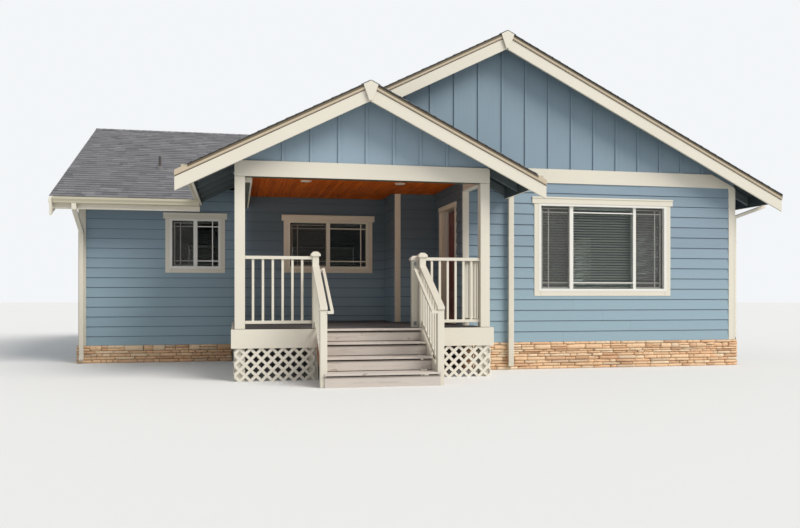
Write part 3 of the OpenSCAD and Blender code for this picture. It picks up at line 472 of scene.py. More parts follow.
LEFT_EAVE, RIGHT_EAVE, PORCH_EAVE, FRONT_EAVE, REAR_EAVE = -0.562, 9.138, 4.354, 2.980, 12.320
PORCH_RAKE, MAIN_RAKE, REAR_RAKE, WING_RAKE = -0.400, 0.600, 12.039, -3.092
GABLE, WING = np.hypot(1, 0.5), np.hypot(1, WING_PITCH)
left_up, right_up = (RIGHT + 0.5 * UP) / GABLE, (0.5 * UP - RIGHT) / GABLE
front_up, rear_up = (BACK + WING_PITCH * UP) / WING, (WING_PITCH * UP - BACK) / WING
meet = np.array([3.424, WING_RIDGE, 0.0])
EAVE, WING_EAVE = main_top(LEFT_EAVE), wing_top(0, FRONT_EAVE)
main_climb = (MAIN_RIDGE - LEFT_EAVE) * GABLE
left_slope = ((LEFT_EAVE, PORCH_RAKE, EAVE), BACK, left_up, REAR_RAKE - PORCH_RAKE, main_climb)
front_half, rear_half = (WING_RIDGE * BACK, BACK), (WING_RIDGE * BACK, -BACK)
front_valley = (meet, (-0.5, 0.45, 0))
roof("shingles_porch_left", *left_slope, [(PORCH_RIDGE * RIGHT, RIGHT), front_half, front_valley],
     33, ("porch_roof_left", "main_roof_left"))
roof("shingles_main_left", *left_slope, [(PORCH_RIDGE * RIGHT, -RIGHT), front_half,
                                         (0.585 * BACK, -BACK), front_valley], 33)
roof("shingles_main_left_rear", *left_slope, [rear_half, (meet, (-0.5, -0.45, 0))], 33)
roof("shingles_main_right", (RIGHT_EAVE, MAIN_RAKE, EAVE), BACK, right_up, REAR_RAKE - MAIN_RAKE,
     main_climb, seed=35, nodes=("main_roof_right",))
roof("shingles_porch_right", (PORCH_EAVE, PORCH_RAKE, EAVE), BACK, right_up,
     ROOM_FRONT - PORCH_RAKE, (PORCH_EAVE - PORCH_RIDGE) * GABLE, seed=32,
     nodes=("porch_roof_right",), over=0.0)
for name, y, up, side in (("front", FRONT_EAVE, front_up, -0.45),
                          ("rear", REAR_EAVE, rear_up, 0.45)):
    slope = ((WING_RAKE, y, WING_EAVE), RIGHT, up, meet[0] - WING_RAKE,
             (WING_RIDGE - FRONT_EAVE) * WING)
    roof("shingles_wing_" + name, *slope, [(LEFT_EAVE * RIGHT, RIGHT)], 36,
         ("wing_roof_" + name,), 0.0)
    roof("shingles_wing_" + name + "_inner", *slope,
         [(LEFT_EAVE * RIGHT, -RIGHT), (meet, (0.5, side, 0))], 36, over=0.0)


# Ridge caps: asphalt shingles cut to 300 mm, folded over each ridge and nailed, and lapped
# like the courses.
def caps(name, start, along, downs, length, seed, nodes=()):
    """Pairs of small slabs down both sides of a ridge, each raised at its open end."""
    count = int(length / TAB)
    a = np.arange(count) * (length / count)
    u = np.stack([a, a + length / count + 0.03], axis=1)
    v = np.broadcast_to([0.0, 0.15], (count, 2))
    d = np.array([[[0.004, 0.015]] * 2, [[0.004, 0.008]] * 2])
    corners = np.concatenate([on_slope(start, along, down, u, v, d) for down in downs])
    boards(name, corners, shingle, "shingles", seed=seed, nodes=nodes)


caps("ridge_caps_main", (MAIN_RIDGE, MAIN_RAKE - RAKE_OVER, MAIN_PEAK), BACK,
     (-left_up, -right_up), 11.469, 41, ("ridge_caps",))
caps("ridge_caps_porch", (PORCH_RIDGE, PORCH_RAKE - RAKE_OVER, PORCH_PEAK), BACK,
     (-left_up, -right_up), 1.03, 42)
caps("ridge_caps_wing", (WING_RAKE - RAKE_OVER, WING_RIDGE, WING_PEAK), RIGHT,
     (-front_up, -rear_up), 6.5, 43)


# Tail shingles: the lowest asphalt shingles of a rake, nailed so that they run on over the
# end of its barge board.
boards("tail_shingles", np.concatenate([
    on_slope(start, BACK, up, np.array([[side, side + 0.057]]), np.array([[-tail * GABLE, 0.0]]),
             np.array([[-0.002, 0.011], [-0.002, 0.005]]))
    for start, up, side, tail in (
        ((RIGHT_EAVE, MAIN_RAKE, EAVE), right_up, -RAKE_OVER, 0.154),
        ((RIGHT_EAVE, MAIN_RAKE, EAVE), right_up, REAR_RAKE - MAIN_RAKE - 0.042, 0.154),
        ((LEFT_EAVE, PORCH_RAKE, EAVE), left_up, -RAKE_OVER, 0.085),
        ((PORCH_EAVE, PORCH_RAKE, EAVE), right_up, -RAKE_OVER, 0.042))]),
    shingle, "shingles", seed=44)


# Roof boards and rafters: boards under the shingles, and rafters 610 mm apart whose
# ends show below the eaves. The house has them painted as the siding; here they are
# near black and dark blue grey instead: painted shade of the eaves' undersides.
def joined(parts):
    """Several (points, faces) in one list of points and one of faces."""
    base = np.cumsum([0] + [len(p) for p, _ in parts])
    return np.concatenate([p for p, _ in parts]), [[k + b for k in face]
                                                   for b, (_, f) in zip(base, parts) for face in f]


roof_board, w = begin("roof board in painted shade")
# Near black: painted shade under the roof.
w.finish(w.mix((0.020, 0.027, 0.030), (0.030, 0.040, 0.044), w.noise(1.0, (2.0, 2.0, 2.0))), 0.6)
layers = []
for plan, top in (
        ([(LEFT_EAVE, -0.36), (PORCH_RIDGE, -0.36), (PORCH_RIDGE, 0.64), (MAIN_RIDGE, 0.64),
          (MAIN_RIDGE, 12.0), (-0.491, 12.0), meet[:2], (LEFT_EAVE, 3.221)], main_top),
        ([(MAIN_RIDGE, 0.64), (RIGHT_EAVE, 0.64), (RIGHT_EAVE, 12.0), (MAIN_RIDGE, 12.0)],
         main_top),
        ([(PORCH_RIDGE, -0.36), (PORCH_EAVE, -0.36), (PORCH_EAVE, ROOM_FRONT),
          (PORCH_RIDGE, ROOM_FRONT)], porch_top),
        ([(-3.05, FRONT_EAVE), (LEFT_EAVE, FRONT_EAVE), (LEFT_EAVE, 3.221), meet[:2],
          (-3.05, WING_RIDGE)], wing_top),
        ([(-3.05, REAR_EAVE), (LEFT_EAVE, REAR_EAVE), (LEFT_EAVE, 12.079), meet[:2],
          (-3.05, WING_RIDGE)], wing_top)):
    x, y = np.array(plan).T
    upper = np.stack([x, y, top(x, y) - 0.003], axis=1)
    layers.append(skin([upper, upper - (ROOF_UNDER - 0.003) * UP]))
surface("roof_boards", *joined(layers), roof_board, "siding")


def rafters(first, last, rows, top, axis=0):
    """Rafters under a roof's height function, from first to last along one axis and one at
    each of the rows along the other."""
    ends = np.empty((2, np.size(rows), 3))
    ends[..., axis], ends[..., 1 - axis] = [[first], [last]], rows
    ends[..., 2] = top(ends[..., 0], ends[..., 1]) - ROOF_UNDER
    return beams(*ends, 0.045 * (BACK, RIGHT)[axis], -0.14 * UP)


def grained(name, first, second, roughness, depth, *noise, **others):
    """A finish between two colours by one noise, which is also its bump of that depth."""
    paint, w = begin(name)
    grain = w.noise(*noise)
    w.finish(w.mix(first, second, grain), roughness, grain, depth, **others)
    return paint


# Far darker than the siding: painted shade under the eaves.
shaded_rafter_paint = grained("rafter paint in painted shade", (0.080, 0.103, 0.110), (0.105, 0.132, 0.140), 0.6, 0.001,
                       1.0, (3.0, 3.0, 30.0), 5.0)
wing_rows = (-3.0, -2.39, -1.78, -1.17, -0.65)
boards("rafters", np.concatenate([
    rafters(-0.558, 1.896, (-0.33, 0.31), main_top), rafters(1.95, 4.27, 0.66, main_top),
    rafters(-0.558, 4.27, (0.92, 1.53, 2.14, 2.75), main_top),
    rafters(0.0, 4.27, 11.90, main_top),
    rafters(9.134, 4.30, 0.70 + 0.61 * np.arange(19), main_top),
    rafters(4.35, 1.90, (-0.33, 0.31, 0.90), porch_top),
    rafters(2.984, 7.62, wing_rows, wing_top, 1), rafters(12.316, 7.68, wing_rows, wing_top, 1)]),
    shaded_rafter_paint, "siding", seed=51, bevel=0.003)


# Trim: barge boards, eave boards, corner boards, window and door casings, posts, beams and
# railings of primed wood under satin cream paint, nailed on over the siding.
def dress(names, paint, bevel=0.0):
    """The finish, and a small bevel where it helps, for pieces whose shape is the plan's."""
    for name in names.split():
        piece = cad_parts[name]
        for place in piece.material_slots:
            place.material = paint
        if bevel:
            piece.modifiers.new("joined corners", "WELD").merge_threshold = 0.00005
            eased(piece, bevel)


def under_porch(w):
    """1 on what stands deep under the porch roof, down to 0 near the roof's front edge, and
    0 past the porch's sides and on the rear half of the house."""
    deep = ((w.at(1) - 1.096) * 2.0).clamp()
    return deep * w.sum("COMPARE", w.at(0), 1.913, 1.80) * (7.396 - w.at(1) > 0.0)


def trim_colour(w):
    """Cream paint: faint brush marks, broad mottling and splashed soil near the ground. Deep under
    the porch roof it is painted paler and yellower: painted light, the warm light there."""
    brush = w.noise(1.0, (14.0, 14.0, 14.0), 4.0)
    shade = w.mix((0.665, 0.622, 0.525), (0.745, 0.702, 0.600), w.noise(0.8, detail=3.0))
    # Painted light: paler and yellower deep under the porch roof.
    shade = w.mix(shade, (0.90, 0.77, 0.56), under_porch(w) * 0.8)
    low = (0.7 - w.at(2) * 1.6).clamp()
    return w.mix(shade, (0.42, 0.37, 0.29), low * w.noise(7.0) * 0.8), brush


trim_paint, w = begin("cream trim paint")
shade, brush = trim_colour(w)
w.finish(shade, brush * 0.15 + 0.38, brush, 0.0008)
dress("band_boards corner_boards rim_boards porch_railings stair_railings handrails "
      "opening_trim door_frame wing_barge_boards", trim_paint, 0.003)
dress("porch_posts newel_posts", trim_paint, 0.006)

FRONT_BEAM_BACK, FRONT_BEAM_FOOT, SIDE_BEAM_BACK, SIDE_BEAM_FOOT = 0.145, 2.925, 0.222, 2.855
beam_paint_shaded_below, w = begin("beam paint with painted shade below")
shade, brush = trim_colour(w)
# The undersides of the front and side beams are painted dark olive: painted shade.
under = w.sum("MINIMUM", FRONT_BEAM_FOOT - w.at(2) > 0.0, FRONT_BEAM_BACK - w.at(1) > 0.0)
side = w.sum("MINIMUM", SIDE_BEAM_FOOT - w.at(2) > 0.0, SIDE_BEAM_BACK - w.at(0) > 0.0)
shade = w.mix(shade, (0.085, 0.090, 0.060), w.sum("MAXIMUM", under, side))
w.finish(shade, brush * 0.15 + 0.38, brush, 0.0008)
dress("porch_beams", beam_paint_shaded_below, 0.004)

eave_paint_shaded_back, w = begin("eave board paint with painted shade behind")
shade, brush = trim_colour(w)
# The eave boards' back faces, at the eave lines, are painted near black: painted shade under the
# roof.
ends = [w.sum("COMPARE", w.at(0), x, 0.0015) for x in (PORCH_EAVE, RIGHT_EAVE, LEFT_EAVE)]
shade = w.mix(shade, (0.050, 0.066, 0.072), ends[0] + ends[1] + ends[2])
w.finish(shade, brush * 0.15 + 0.38, brush, 0.0008)
dress("fascias", eave_paint_shaded_back, 0.003)

# The barge boards have a strip under the shingles, coloured in bands by the depth below
# the roof's surface, all painted shade and shadow: near black and brown under the shingles'
# edge, a paler tan below that, and a dark line of painted shadow under the strip. The brown
# ends with the shingles, reach from the ridge, and the peak block, ahead of the strip, is plain.
for part, ridge, peak, front, reach in (
        ("main", MAIN_RIDGE, MAIN_PEAK, MAIN_RAKE - 0.0005, 5.02),
        ("porch", PORCH_RIDGE, PORCH_PEAK, PORCH_RAKE - 0.0005, 2.52)):
    rake_paint, w = begin(part + " barge paint")
    shade, brush = trim_colour(w)
    across = w.sum("ABSOLUTE", w.at(0) - ridge)
    below = peak - across * 0.5 - w.at(2)
    # The ramp's bands: painted shade under the shingles' edge, brown and tan painted shade on the
    # strip, and a painted shadow line under it.
    strip = w.node("ValToRGB",
                   {"stops": [(0.10, (0.025, 0.022, 0.018)), (0.16, (0.10, 0.075, 0.042)),
                              (0.44, (0.17, 0.13, 0.075)), (0.47, (0.50, 0.42, 0.30)),
                              (0.80, (0.56, 0.47, 0.35)), (0.83, (0.09, 0.065, 0.045))]},
                   Fac=w.sum("MAXIMUM", below * 10.0, (across > reach) * 0.6))
    shade = w.mix(strip, shade, w.sum("MAXIMUM", below > 0.094, front - w.at(1) > 0.0))
    w.finish(shade, brush * 0.15 + 0.42, brush, 0.0008)
    dress(part + "_barge_boards", rake_paint, 0.003)


# Gutters and downspouts: folded aluminium with baked cream enamel. The gutters have a
# stepped front, hang on the eave boards and are closed at their ends.
def carry(profile, path, side):
    """A closed profile carried along a path in one plane. side is the unit vector across
    that plane: a profile point (a, b) lies at path + a side + b n, where n is square to both,
    lengthened at a bend so that the pipe keeps its width."""
    path = np.array(path)
    step = np.diff(path, axis=0)
    step /= np.linalg.norm(step, axis=1)[:, None]
    before, after = np.vstack([step[:1], step]), np.vstack([step, step[-1:]])
    mean = before + after
    mean /= np.linalg.norm(mean, axis=1)[:, None]
    out = np.cross(side, mean) / (before * mean).sum(1)[:, None]
    return skin(path[:, None] + profile[:, :1] * side + profile[:, 1:] * out[:, None])


enamel = grained("cream enamel", (0.50, 0.465, 0.345), (0.55, 0.51, 0.385), 0.32, 0.0005,
                 1.2, (1.0, 1.0, 1.0), 3.0)
MM = 0.001
PLATE = [(0, 0), (0, -110), (78, -110), (94, -96), (97, -74), (110, -50), (119, -36), (120, 0)]
GUTTER = PLATE + [(109, 0), (109, -5), (115, -5), (114, -33), (105, -47), (92, -72), (89, -92),
                  (76, -105), (5, -105), (5, 0)]
runs = []
for x0, y0, x1, y1, z, out in ((-3.030, 2.942, -0.610, 2.942, 2.9015, -BACK),
                               (-3.030, 12.358, -0.610, 12.358, 2.9015, BACK),
                               (-0.600, -0.338, -0.600, 2.800, 3.010, -RIGHT),
                               (9.176, 0.662, 9.176, 11.977, 3.010, RIGHT),
                               (4.392, -0.338, 4.392, 0.950, 3.010, RIGHT)):
    start, end = np.array([(x0, y0, z), (x1, y1, z)])
    along = (end - start) / np.linalg.norm(end - start)
    section, plate = (np.array(part) * (MM, MM * np.sign(np.cross(out, along)[2]))
                      for part in (GUTTER, PLATE))
    runs += [carry(section, [start, end], out), carry(plate, [start, start + 0.002 * along], out),
             carry(plate, [end - 0.002 * along, end], out)]
surface("gutter_runs", *joined(runs), enamel, "gutter_metal", nodes=("gutters",))

RIBS = MM * np.array([(-38, -24), (-30, -28), (-22, -25), (-15, -28), (-8, -25), (0, -28),
                      (8, -25), (15, -28), (22, -25), (30, -28), (38, -24), (38, 24), (30, 28),
                      (-30, 28), (-38, 24)])
BAND = MM * np.array([(-42, -31), (42, -31), (42, 31), (-42, 31)])
SMALL = MM * np.array([(-20, -12), (20, -12), (20, 12), (-20, 12)])
pipes = [carry(RIBS, [(-2.689, 2.882, 2.80), (-2.689, 2.882, 2.71), (-2.689, 3.554, 2.36),
                      (-2.689, 3.554, 0.13), (-2.689, 3.50, 0.06)], RIGHT),
         carry(RIBS * (1.15, 1.0), [(4.448, 0.893, 2.91), (4.448, 0.893, 0.06)], RIGHT),
         carry(RIBS, [(9.236, 1.046, 2.91), (9.236, 1.046, 2.80), (8.657, 1.046, 2.60),
                      (8.657, 1.046, 0.49)], BACK)]
pipes += [carry(BAND * (wide, 1.0), [(x, y, z), (x, y, z + 0.025)], side)
          for x, y, wide, side in ((-2.689, 3.556, 1.0, RIGHT), (4.448, 0.895, 1.12, RIGHT),
                                   (8.655, 1.046, 1.0, BACK)) for z in (0.75, 2.15)]
surface("downspout_pipes", *joined(pipes), trim_paint, "gutter_metal", nodes=("downspouts",))

rubber, w = begin("black rubber")
w.finish((0.02, 0.02, 0.02), 0.7, w.noise(60.0), 0.0005)
surface("downspout_boot", *carry(SMALL, [(8.657, 1.046, 0.52), (8.678, 1.046, 0.45),
                                         (8.678, 1.046, 0.02)], BACK), rubber, "gutter_metal")
pipe_paint, w = begin("vent pipe")
shade = w.mix((0.115, 0.112, 0.112), (0.045, 0.032, 0.026), w.at(2) > 3.757)
w.finish(w.mix(shade, (0.20, 0.19, 0.18), w.noise(25.0) * 0.3), 0.6)
dress("vent_pipe", pipe_paint)


# Foundation: concrete with faint board marks, cast in place round the crawl space and seen
# below the siding at the rear.
concrete, w = begin("cast concrete")
pits = w.noise(30.0, detail=6.0)
cloud = w.noise(1.5, detail=4.0) * 0.7 + pits * 0.3
w.finish(w.mix((0.33, 0.32, 0.30), (0.44, 0.43, 0.41), cloud), 0.85, pits, 0.003)
dress("foundation", concrete)


# Stone base: split ledge stones laid dry in uneven courses against the foundation, each
# with its own colour and a rough, rounded face.
ledge_stone, w = begin("ledge stone")
rough = w.noise(16.0, detail=8.0, rough=0.62)
shade = w.node("ValToRGB", {"stops": [(0.0, (0.46, 0.25, 0.13)), (0.2, (0.74, 0.43, 0.235)),
                                      (0.45, (0.82, 0.56, 0.34)), (0.7, (0.65, 0.40, 0.225)),
                                      (0.85, (0.85, 0.66, 0.45)), (1.0, (0.52, 0.37, 0.25))]},
               Fac=w.point("tone"))
shade = w.mix(shade, (0.30, 0.19, 0.12), (rough > 0.58) * 0.35)
shade = w.mix(shade, (0.82, 0.64, 0.45), w.noise(6.0, detail=5.0) * 0.35)
w.finish(shade, 0.85, rough, 0.010)
# Near black: painted shade in the gaps between the dry-laid stones.
gap_shade_paint, w = begin("painted shade between stones")
w.finish(w.mix((0.055, 0.045, 0.04), (0.10, 0.085, 0.07), w.noise(40.0)), 0.95)


def stones(runs):
    """Stones as rounded lumps. Each is a 7 x 5 grid: its point at (u, v) is the stone's low
    corner + u width + v height + a depth that is full inside, less by the corners, and none
    on the outer ring, with a small random bump."""
    random = np.random.default_rng(61)
    low, size, sides = [], [], []
    for start, along, out, length, height in runs:
        z = 0.0
        while z < height - 0.02:
            high = min(random.choice([0.036, 0.048, 0.060, 0.082]), height - z)
            high = height - z if height - z - high < 0.035 else high
            x = 0.0
            while x < length - 0.01:
                wide = min(random.uniform(0.09, 0.36), length - x)
                wide = length - x if length - x - wide < 0.08 else wide
                layers = 2 if high > 0.07 and random.random() < 0.4 else 1
                for k in range(layers):
                    low.append(start + x * along + (z + k * high / layers) * UP)
                    size.append((wide, high / layers, random.uniform(0.026, 0.057)))
                    sides.append((along, out))
                x += wide
            z += high
    count, size = len(low), np.array(size)[..., None, None]
    sides = np.array(sides)[:, :, None, None]
    u, v = np.meshgrid([0.0, 0.0, 0.12, 0.5, 0.88, 1.0, 1.0], [0.0, 0.0, 0.5, 1.0, 1.0],
                       indexing="ij")
    inner, inset = np.pad(np.ones((5, 3)), 1), 0.003
    corner = (np.abs(2 * u - 1) ** 3 + np.abs(2 * v - 1) ** 3) / 2
    depth = size[:, 2] * inner * (1 - 0.45 * corner)
    depth = depth + inner * random.normal(0, 0.0035, (count, 7, 5))
    wide = inset + u * (size[:, 0] - 2 * inset) + inner * random.normal(0, 0.002, (count, 7, 5))
    high = inset + v * (size[:, 1] - 2 * inset)
    points = (np.array(low)[:, None, None] + wide[..., None] * sides[:, 0] + high[..., None] * UP
              + depth[..., None] * sides[:, 1])
    cell = (np.arange(6)[:, None] * 5 + np.arange(4)).ravel()
    quad = np.stack([cell, cell + 5, cell + 6, cell + 1], axis=1)
    made = surface("ledge_stones", points, copies(quad, 35, count), ledge_stone, "stone",
                   tone=np.repeat(random.random(count), 35), nodes=("stone_base",))
    made.data.shade_smooth()
    # A thin sheet behind the stones, painted near black: painted shade in the gaps between them.
    backs = np.concatenate([beams(start, start + length * along, 0.012 * out, height * UP)
                            for start, along, out, length, height in runs])
    boards("ledge_stones_shaded_backing", backs, gap_shade_paint, "stone")


stones([(np.array([DOOR_FACE, ROOM_FRONT, 0]), RIGHT, -BACK, 5.012, BASE_TOP),
        (np.array([RIGHT_FACE, 0.985, 0]), BACK, RIGHT, 10.671, BASE_TOP),
        (np.array([-2.787, PORCH_BACK, 0]), RIGHT, -BACK, 2.735, LEFT_BASE_TOP),
        (np.array([LEFT_FACE, 3.646, 0]), BACK, -RIGHT, 8.010, LEFT_BASE_TOP)])


# Windows: white extruded vinyl frames with a flange over the trim, sliding sashes, clear
# glass behind thin white bars, grey slatted blinds, and dark screens on the sliding sashes.
# In the porch windows the slats are near black: painted shade of the porch roof.
vinyl, w = begin("white vinyl")
shade = w.mix((0.74, 0.73, 0.68), (0.80, 0.79, 0.74), w.noise(2.0, detail=2.0))
# Deep under the porch roof the vinyl is painted paler and yellower: painted light, the warm light
# there.
w.finish(w.mix(shade, (0.93, 0.82, 0.60), under_porch(w) * 0.85), 0.34, w.noise(80.0), 0.0002)


def glass(name, bend):
    """Greenish glass with a faint ripple. bend is its index of refraction."""
    paint, w = begin(name)
    w.finish((0.68, 0.73, 0.71), 0.0, w.noise(1.3, detail=1.0), 0.0004, Transmission_Weight=1.0,
             IOR=bend)
    return paint


def blind_paint(name, first, second, roughness):
    """Enamel on thin metal slats, between two colours from slat to slat."""
    paint, w = begin(name)
    w.finish(w.mix(first, second, w.point("tone")), roughness, w.noise(30.0), 0.0004)
    return paint


clear_glass, shaded_glass = glass("clear glass", 1.33), glass("shaded glass", 1.15)
slat_paint = blind_paint("grey blind slats", (0.52, 0.52, 0.49), (0.62, 0.62, 0.585), 0.55)
# Near-black slats for the porch windows: painted shade; the same slats elsewhere are grey.
shaded_slat_paint = blind_paint("blind slats in painted shade", (0.085, 0.082, 0.075), (0.15, 0.145, 0.135), 0.5)
mesh_screen, w = begin("insect screen")
w.finish((0.11, 0.11, 0.105), 0.7, Alpha=w.noise(900.0, detail=0.0) * 0.2 + 0.18)


def blocks(wall, spans):
    """Corners of blocks on a wall: each span is a start and end along it, into it and up."""
    spans = np.atleast_2d(spans)
    return lay(wall[0], (*wall[1:], UP), spans[:, :2, None, None], spans[:, None, 2:4, None],
               spans[:, None, None, 4:]).reshape(-1, 8, 3)


def ring(a0, a1, d0, d1, z0, z1, wide):
    """Four spans round an opening's edge: two uprights, and rails between them. wide is one
    width for all, or one each for the left, right, foot and top."""
    left, right, foot, top = np.broadcast_to(wide, 4)
    return [(a0, a0 + left, d0, d1, z0, z1), (a1 - right, a1, d0, d1, z0, z1),
            (a0 + left, a1 - right, d0, d1, z0, z0 + foot),
            (a0 + left, a1 - right, d0, d1, z1 - top, z1)]


room_front, porch_back = (ROOM_FRONT * BACK, RIGHT, BACK), (PORCH_BACK * BACK, RIGHT, BACK)
right_side, left_side = (RIGHT_FACE * RIGHT, BACK, -RIGHT), (LEFT_FACE * RIGHT, -BACK, RIGHT)
rear = (REAR_FACE * BACK, -RIGHT, -BACK)
SIDE, FLANGE, TOP = 0.012, 0.032, 0.034
windows = [(room_front, 4.992, 2.270, 2.756, 1.432, ((0.564, 0.033), (1.719, 0.027)), (0, 2),
            (0.168, 0.150), 0.50),
           (porch_back, 1.014, 1.480, 2.636, 0.872, ((0.7375, 0.036),), (0,),
            (0.155, 0.112), 0.16),
           (porch_back, -1.140, 0.850, 2.636, 0.885, ((0.4255, 0.035),), (0,),
            (0.154, 0.118), 0.16)]
windows += [(wall, x if wall is right_side else -x - wide, wide, 2.636, 1.1,
             ((wide / 2, 0.035),), (0,), (0.155, 0.112), 1.30 if wall is rear else 0.50)
            for wall, places in ((right_side, RIGHT_WINDOWS), (left_side, LEFT_WINDOWS),
                                 (rear, REAR_WINDOWS)) for x, wide in places]
frames, panes, shaded, grids, slats, dark, screens = [], [], [], [], [], [], []
for wall, start, wide, head, tall, stops, slides, inset, tilt in windows:
    low, end = head - tall, start + wide
    z0, z1 = low + SIDE, head - TOP
    spans = ring(start - FLANGE, end + FLANGE, -0.029, -0.0255, low - FLANGE, head,
                 (FLANGE + SIDE, FLANGE + SIDE, FLANGE + SIDE, TOP))
    spans += ring(start, end, -0.0255, 0.100, low, head, (SIDE, SIDE, SIDE, TOP))
    spans += [(start + c - half, start + c + half, 0.004, 0.095, z0, z1) for c, half in stops]
    edges = [start + SIDE] + [start + c + k * half for c, half in stops for k in (-1, 1)]
    edges.append(end - SIDE)
    bars, nets = [], []
    for k, (a0, a1) in enumerate(zip(edges[::2], edges[1::2])):
        slide = k in slides
        at = 0.044 if slide else 0.008
        if slide:
            stiles = (0.010, 0.026) if k else (0.026, 0.010)
            spans += ring(a0 + 0.022 * (k == 0), a1 - 0.022 * (k > 0), 0.038, 0.066, z0,
                          z1 - 0.028, (*stiles, 0.030, 0.016))
            nets.append((a0 + 0.001, a1 - 0.001, 0.032, 0.0335, z0 + 0.001, z1 - 0.001))
        bars += [(a0 + 0.002, a1 - 0.002, at + 0.001, at + 0.007, z - 0.009, z + 0.009)
                 for z in (low + 0.112, head - 0.135)]
        x = start + inset[0] if k == 0 else end - inset[1]
        if k != 1 or len(stops) == 1:
            bars.append((x - 0.009, x + 0.009, at, at + 0.006, z0, z1 - 0.028 * slide))
        (shaded if wall is porch_back else panes).append(
            blocks(wall, (a0 + 0.001, a1 - 0.001, at + 0.009, at + 0.014, z0, z1)))
    frames.append(blocks(wall, spans))
    grids.append(blocks(wall, bars))
    screens.append(blocks(wall, nets))
    origin, along, inward = wall
    up = np.arange(low + 0.085, head - 0.07, 0.044)
    left = origin + (start + 0.026) * along + 0.122 * inward + up[:, None] * UP
    lean = 0.050 * (np.cos(tilt) * inward + np.sin(tilt) * UP)
    cords = [(start + f * wide - 0.002, start + f * wide + 0.002, 0.096, 0.098, low + 0.04,
              head - 0.06) for f in (0.12, 0.5, 0.88)]
    rails = [(start + 0.024, end - 0.024, 0.100, 0.140, head - 0.080, head - 0.040),
             (start + 0.026, end - 0.026, 0.104, 0.140, low + 0.028, low + 0.048)]
    # Porch windows take the near-black slats: painted shade.
    blind = dark if wall is porch_back else slats
    blind += [beams(left - lean / 2, left - lean / 2 + (wide - 0.052) * along, lean, 0.0025 * UP),
              blocks(wall, cords + rails)]
for name, parts, paint, slot, others in (
        ("vinyl_frames", frames, vinyl, "vinyl", {"bevel": 0.002, "nodes": ("window_frames",)}),
        ("glass_panes", panes, clear_glass, "glass", {"nodes": ("window_glass",)}),
        ("shaded_panes", shaded, shaded_glass, "glass", {}),
        ("glass_bars", grids, vinyl, "vinyl", {}),
        ("blind_slats", slats, slat_paint, "vinyl", {"seed": 71}),
        ("dark_blind_slats", dark, shaded_slat_paint, "vinyl", {"seed": 72}),
        ("insect_screens", screens, mesh_screen, "handle_metal", {})):
    boards(name, np.concatenate(parts), paint, slot, **others)


# Walls and floor behind the siding: framed walls under painted boards, and a floor of
# sanded and varnished oak boards nailed down indoors.
dress("front_left_wall porch_back_wall recess_side_wall recess_back_wall door_side_walls "
      "door_wall_head front_right_wall right_wall rear_wall left_wall", siding_paint)
dress("front_gable_wall rear_gable_wall porch_gable_wall", panel_paint)
oak = grained("oak floor", (0.27, 0.15, 0.07), (0.42, 0.26, 0.13), 0.35, 0.0005,
              2.0, (1.0, 16.0, 1.0), 6.0)
dress("floor", oak)


# Front door: a wooden leaf with a narrow leaded light, mouldings planted round its panels,
# painted dark red, with a lever and bolt of brushed metal and three hinges.
door_red = grained("dark red door paint", (0.125, 0.008, 0.007), (0.175, 0.014, 0.010), 0.30,
                   0.0006, 1.0, (12.0, 12.0, 1.2), 4.0)
brushed, w = begin("brushed metal")
lines = w.noise(4.0, (1.0, 40.0, 40.0), 3.0)
w.finish(w.mix((0.50, 0.48, 0.45), (0.62, 0.60, 0.56), lines), lines * 0.2 + 0.25, Metallic=1.0)
dress("door_leaf", door_red, 0.003)
dress("door_glass", clear_glass)
dress("door_hardware", brushed)
leaf = (3.781 * RIGHT, BACK, RIGHT)
strips, came = [], []
for near, far in ((-0.008, 0.0), (0.044, 0.052)):
    for y0, y1 in ((1.525, 1.742), (1.970, 2.187)):
        strips += ring(y0, y1, near, far, 1.278, 2.478, 0.018)
        strips += ring(y0, y1, near, far, 0.930, 1.190, 0.018)
    strips += ring(1.764, 1.948, near, far, 1.262, 2.494, 0.020)
for near in (0.012, 0.027):
    came += [(y - 0.003, y + 0.003, near, near + 0.004, 1.28, 2.476) for y in (1.8185, 1.8935)]
    came += [(1.783, 1.929, near, near + 0.004, z, z + 0.006) for z in (1.42, 1.65, 2.10, 2.33)]
boards("door_mouldings", blocks(leaf, strips), door_red, "door_paint", body="front_door",
       bevel=0.002)
boards("leaded_bars", blocks(leaf, came), brushed, "handle_metal", body="front_door")


# Porch floor and steps: weathered boards 140 mm wide, nailed down with gaps between them.
# Each tread is two boards, and its riser leaves a gap above and below.
weathered, w = begin("weathered wood")
grain = w.noise(1.6, (1.0, 16.0, 16.0), 7.0, 0.62)
worn = w.noise(1.7, (1.0, 2.0, 2.0), 4.0)
knots = w.noise(6.0, (1.0, 2.6, 2.6), 1.0)
shade = w.mix((0.44, 0.385, 0.345), (0.58, 0.52, 0.475), w.point("tone"))
shade = w.mix(shade, (0.29, 0.245, 0.215), (grain > 0.57) * 0.40)
shade = w.mix(shade, (0.64, 0.58, 0.51), worn * 0.45)
shade = w.mix(shade, (0.20, 0.15, 0.12), (knots > 0.73) * 0.6)
# The top of each riser, under the tread's nosing, is painted dark: painted shadow of the nosing.
shade = w.mix(shade, (0.16, 0.13, 0.11), (w.point("rise") > 0.88) * 0.7)
w.finish(shade, 0.82, grain, 0.0015)

# Deck boards painted far darker than the steps: painted shade of the porch roof on the deck.
stained, w = begin("deck boards in painted shade")
grain = w.noise(1.6, (1.0, 16.0, 16.0), 7.0, 0.62)
shade = w.mix((0.060, 0.060, 0.062), (0.095, 0.092, 0.092), w.point("tone"))
w.finish(w.mix(shade, (0.16, 0.14, 0.12), (grain > 0.58) * 0.5), 0.75, grain, 0.0015)

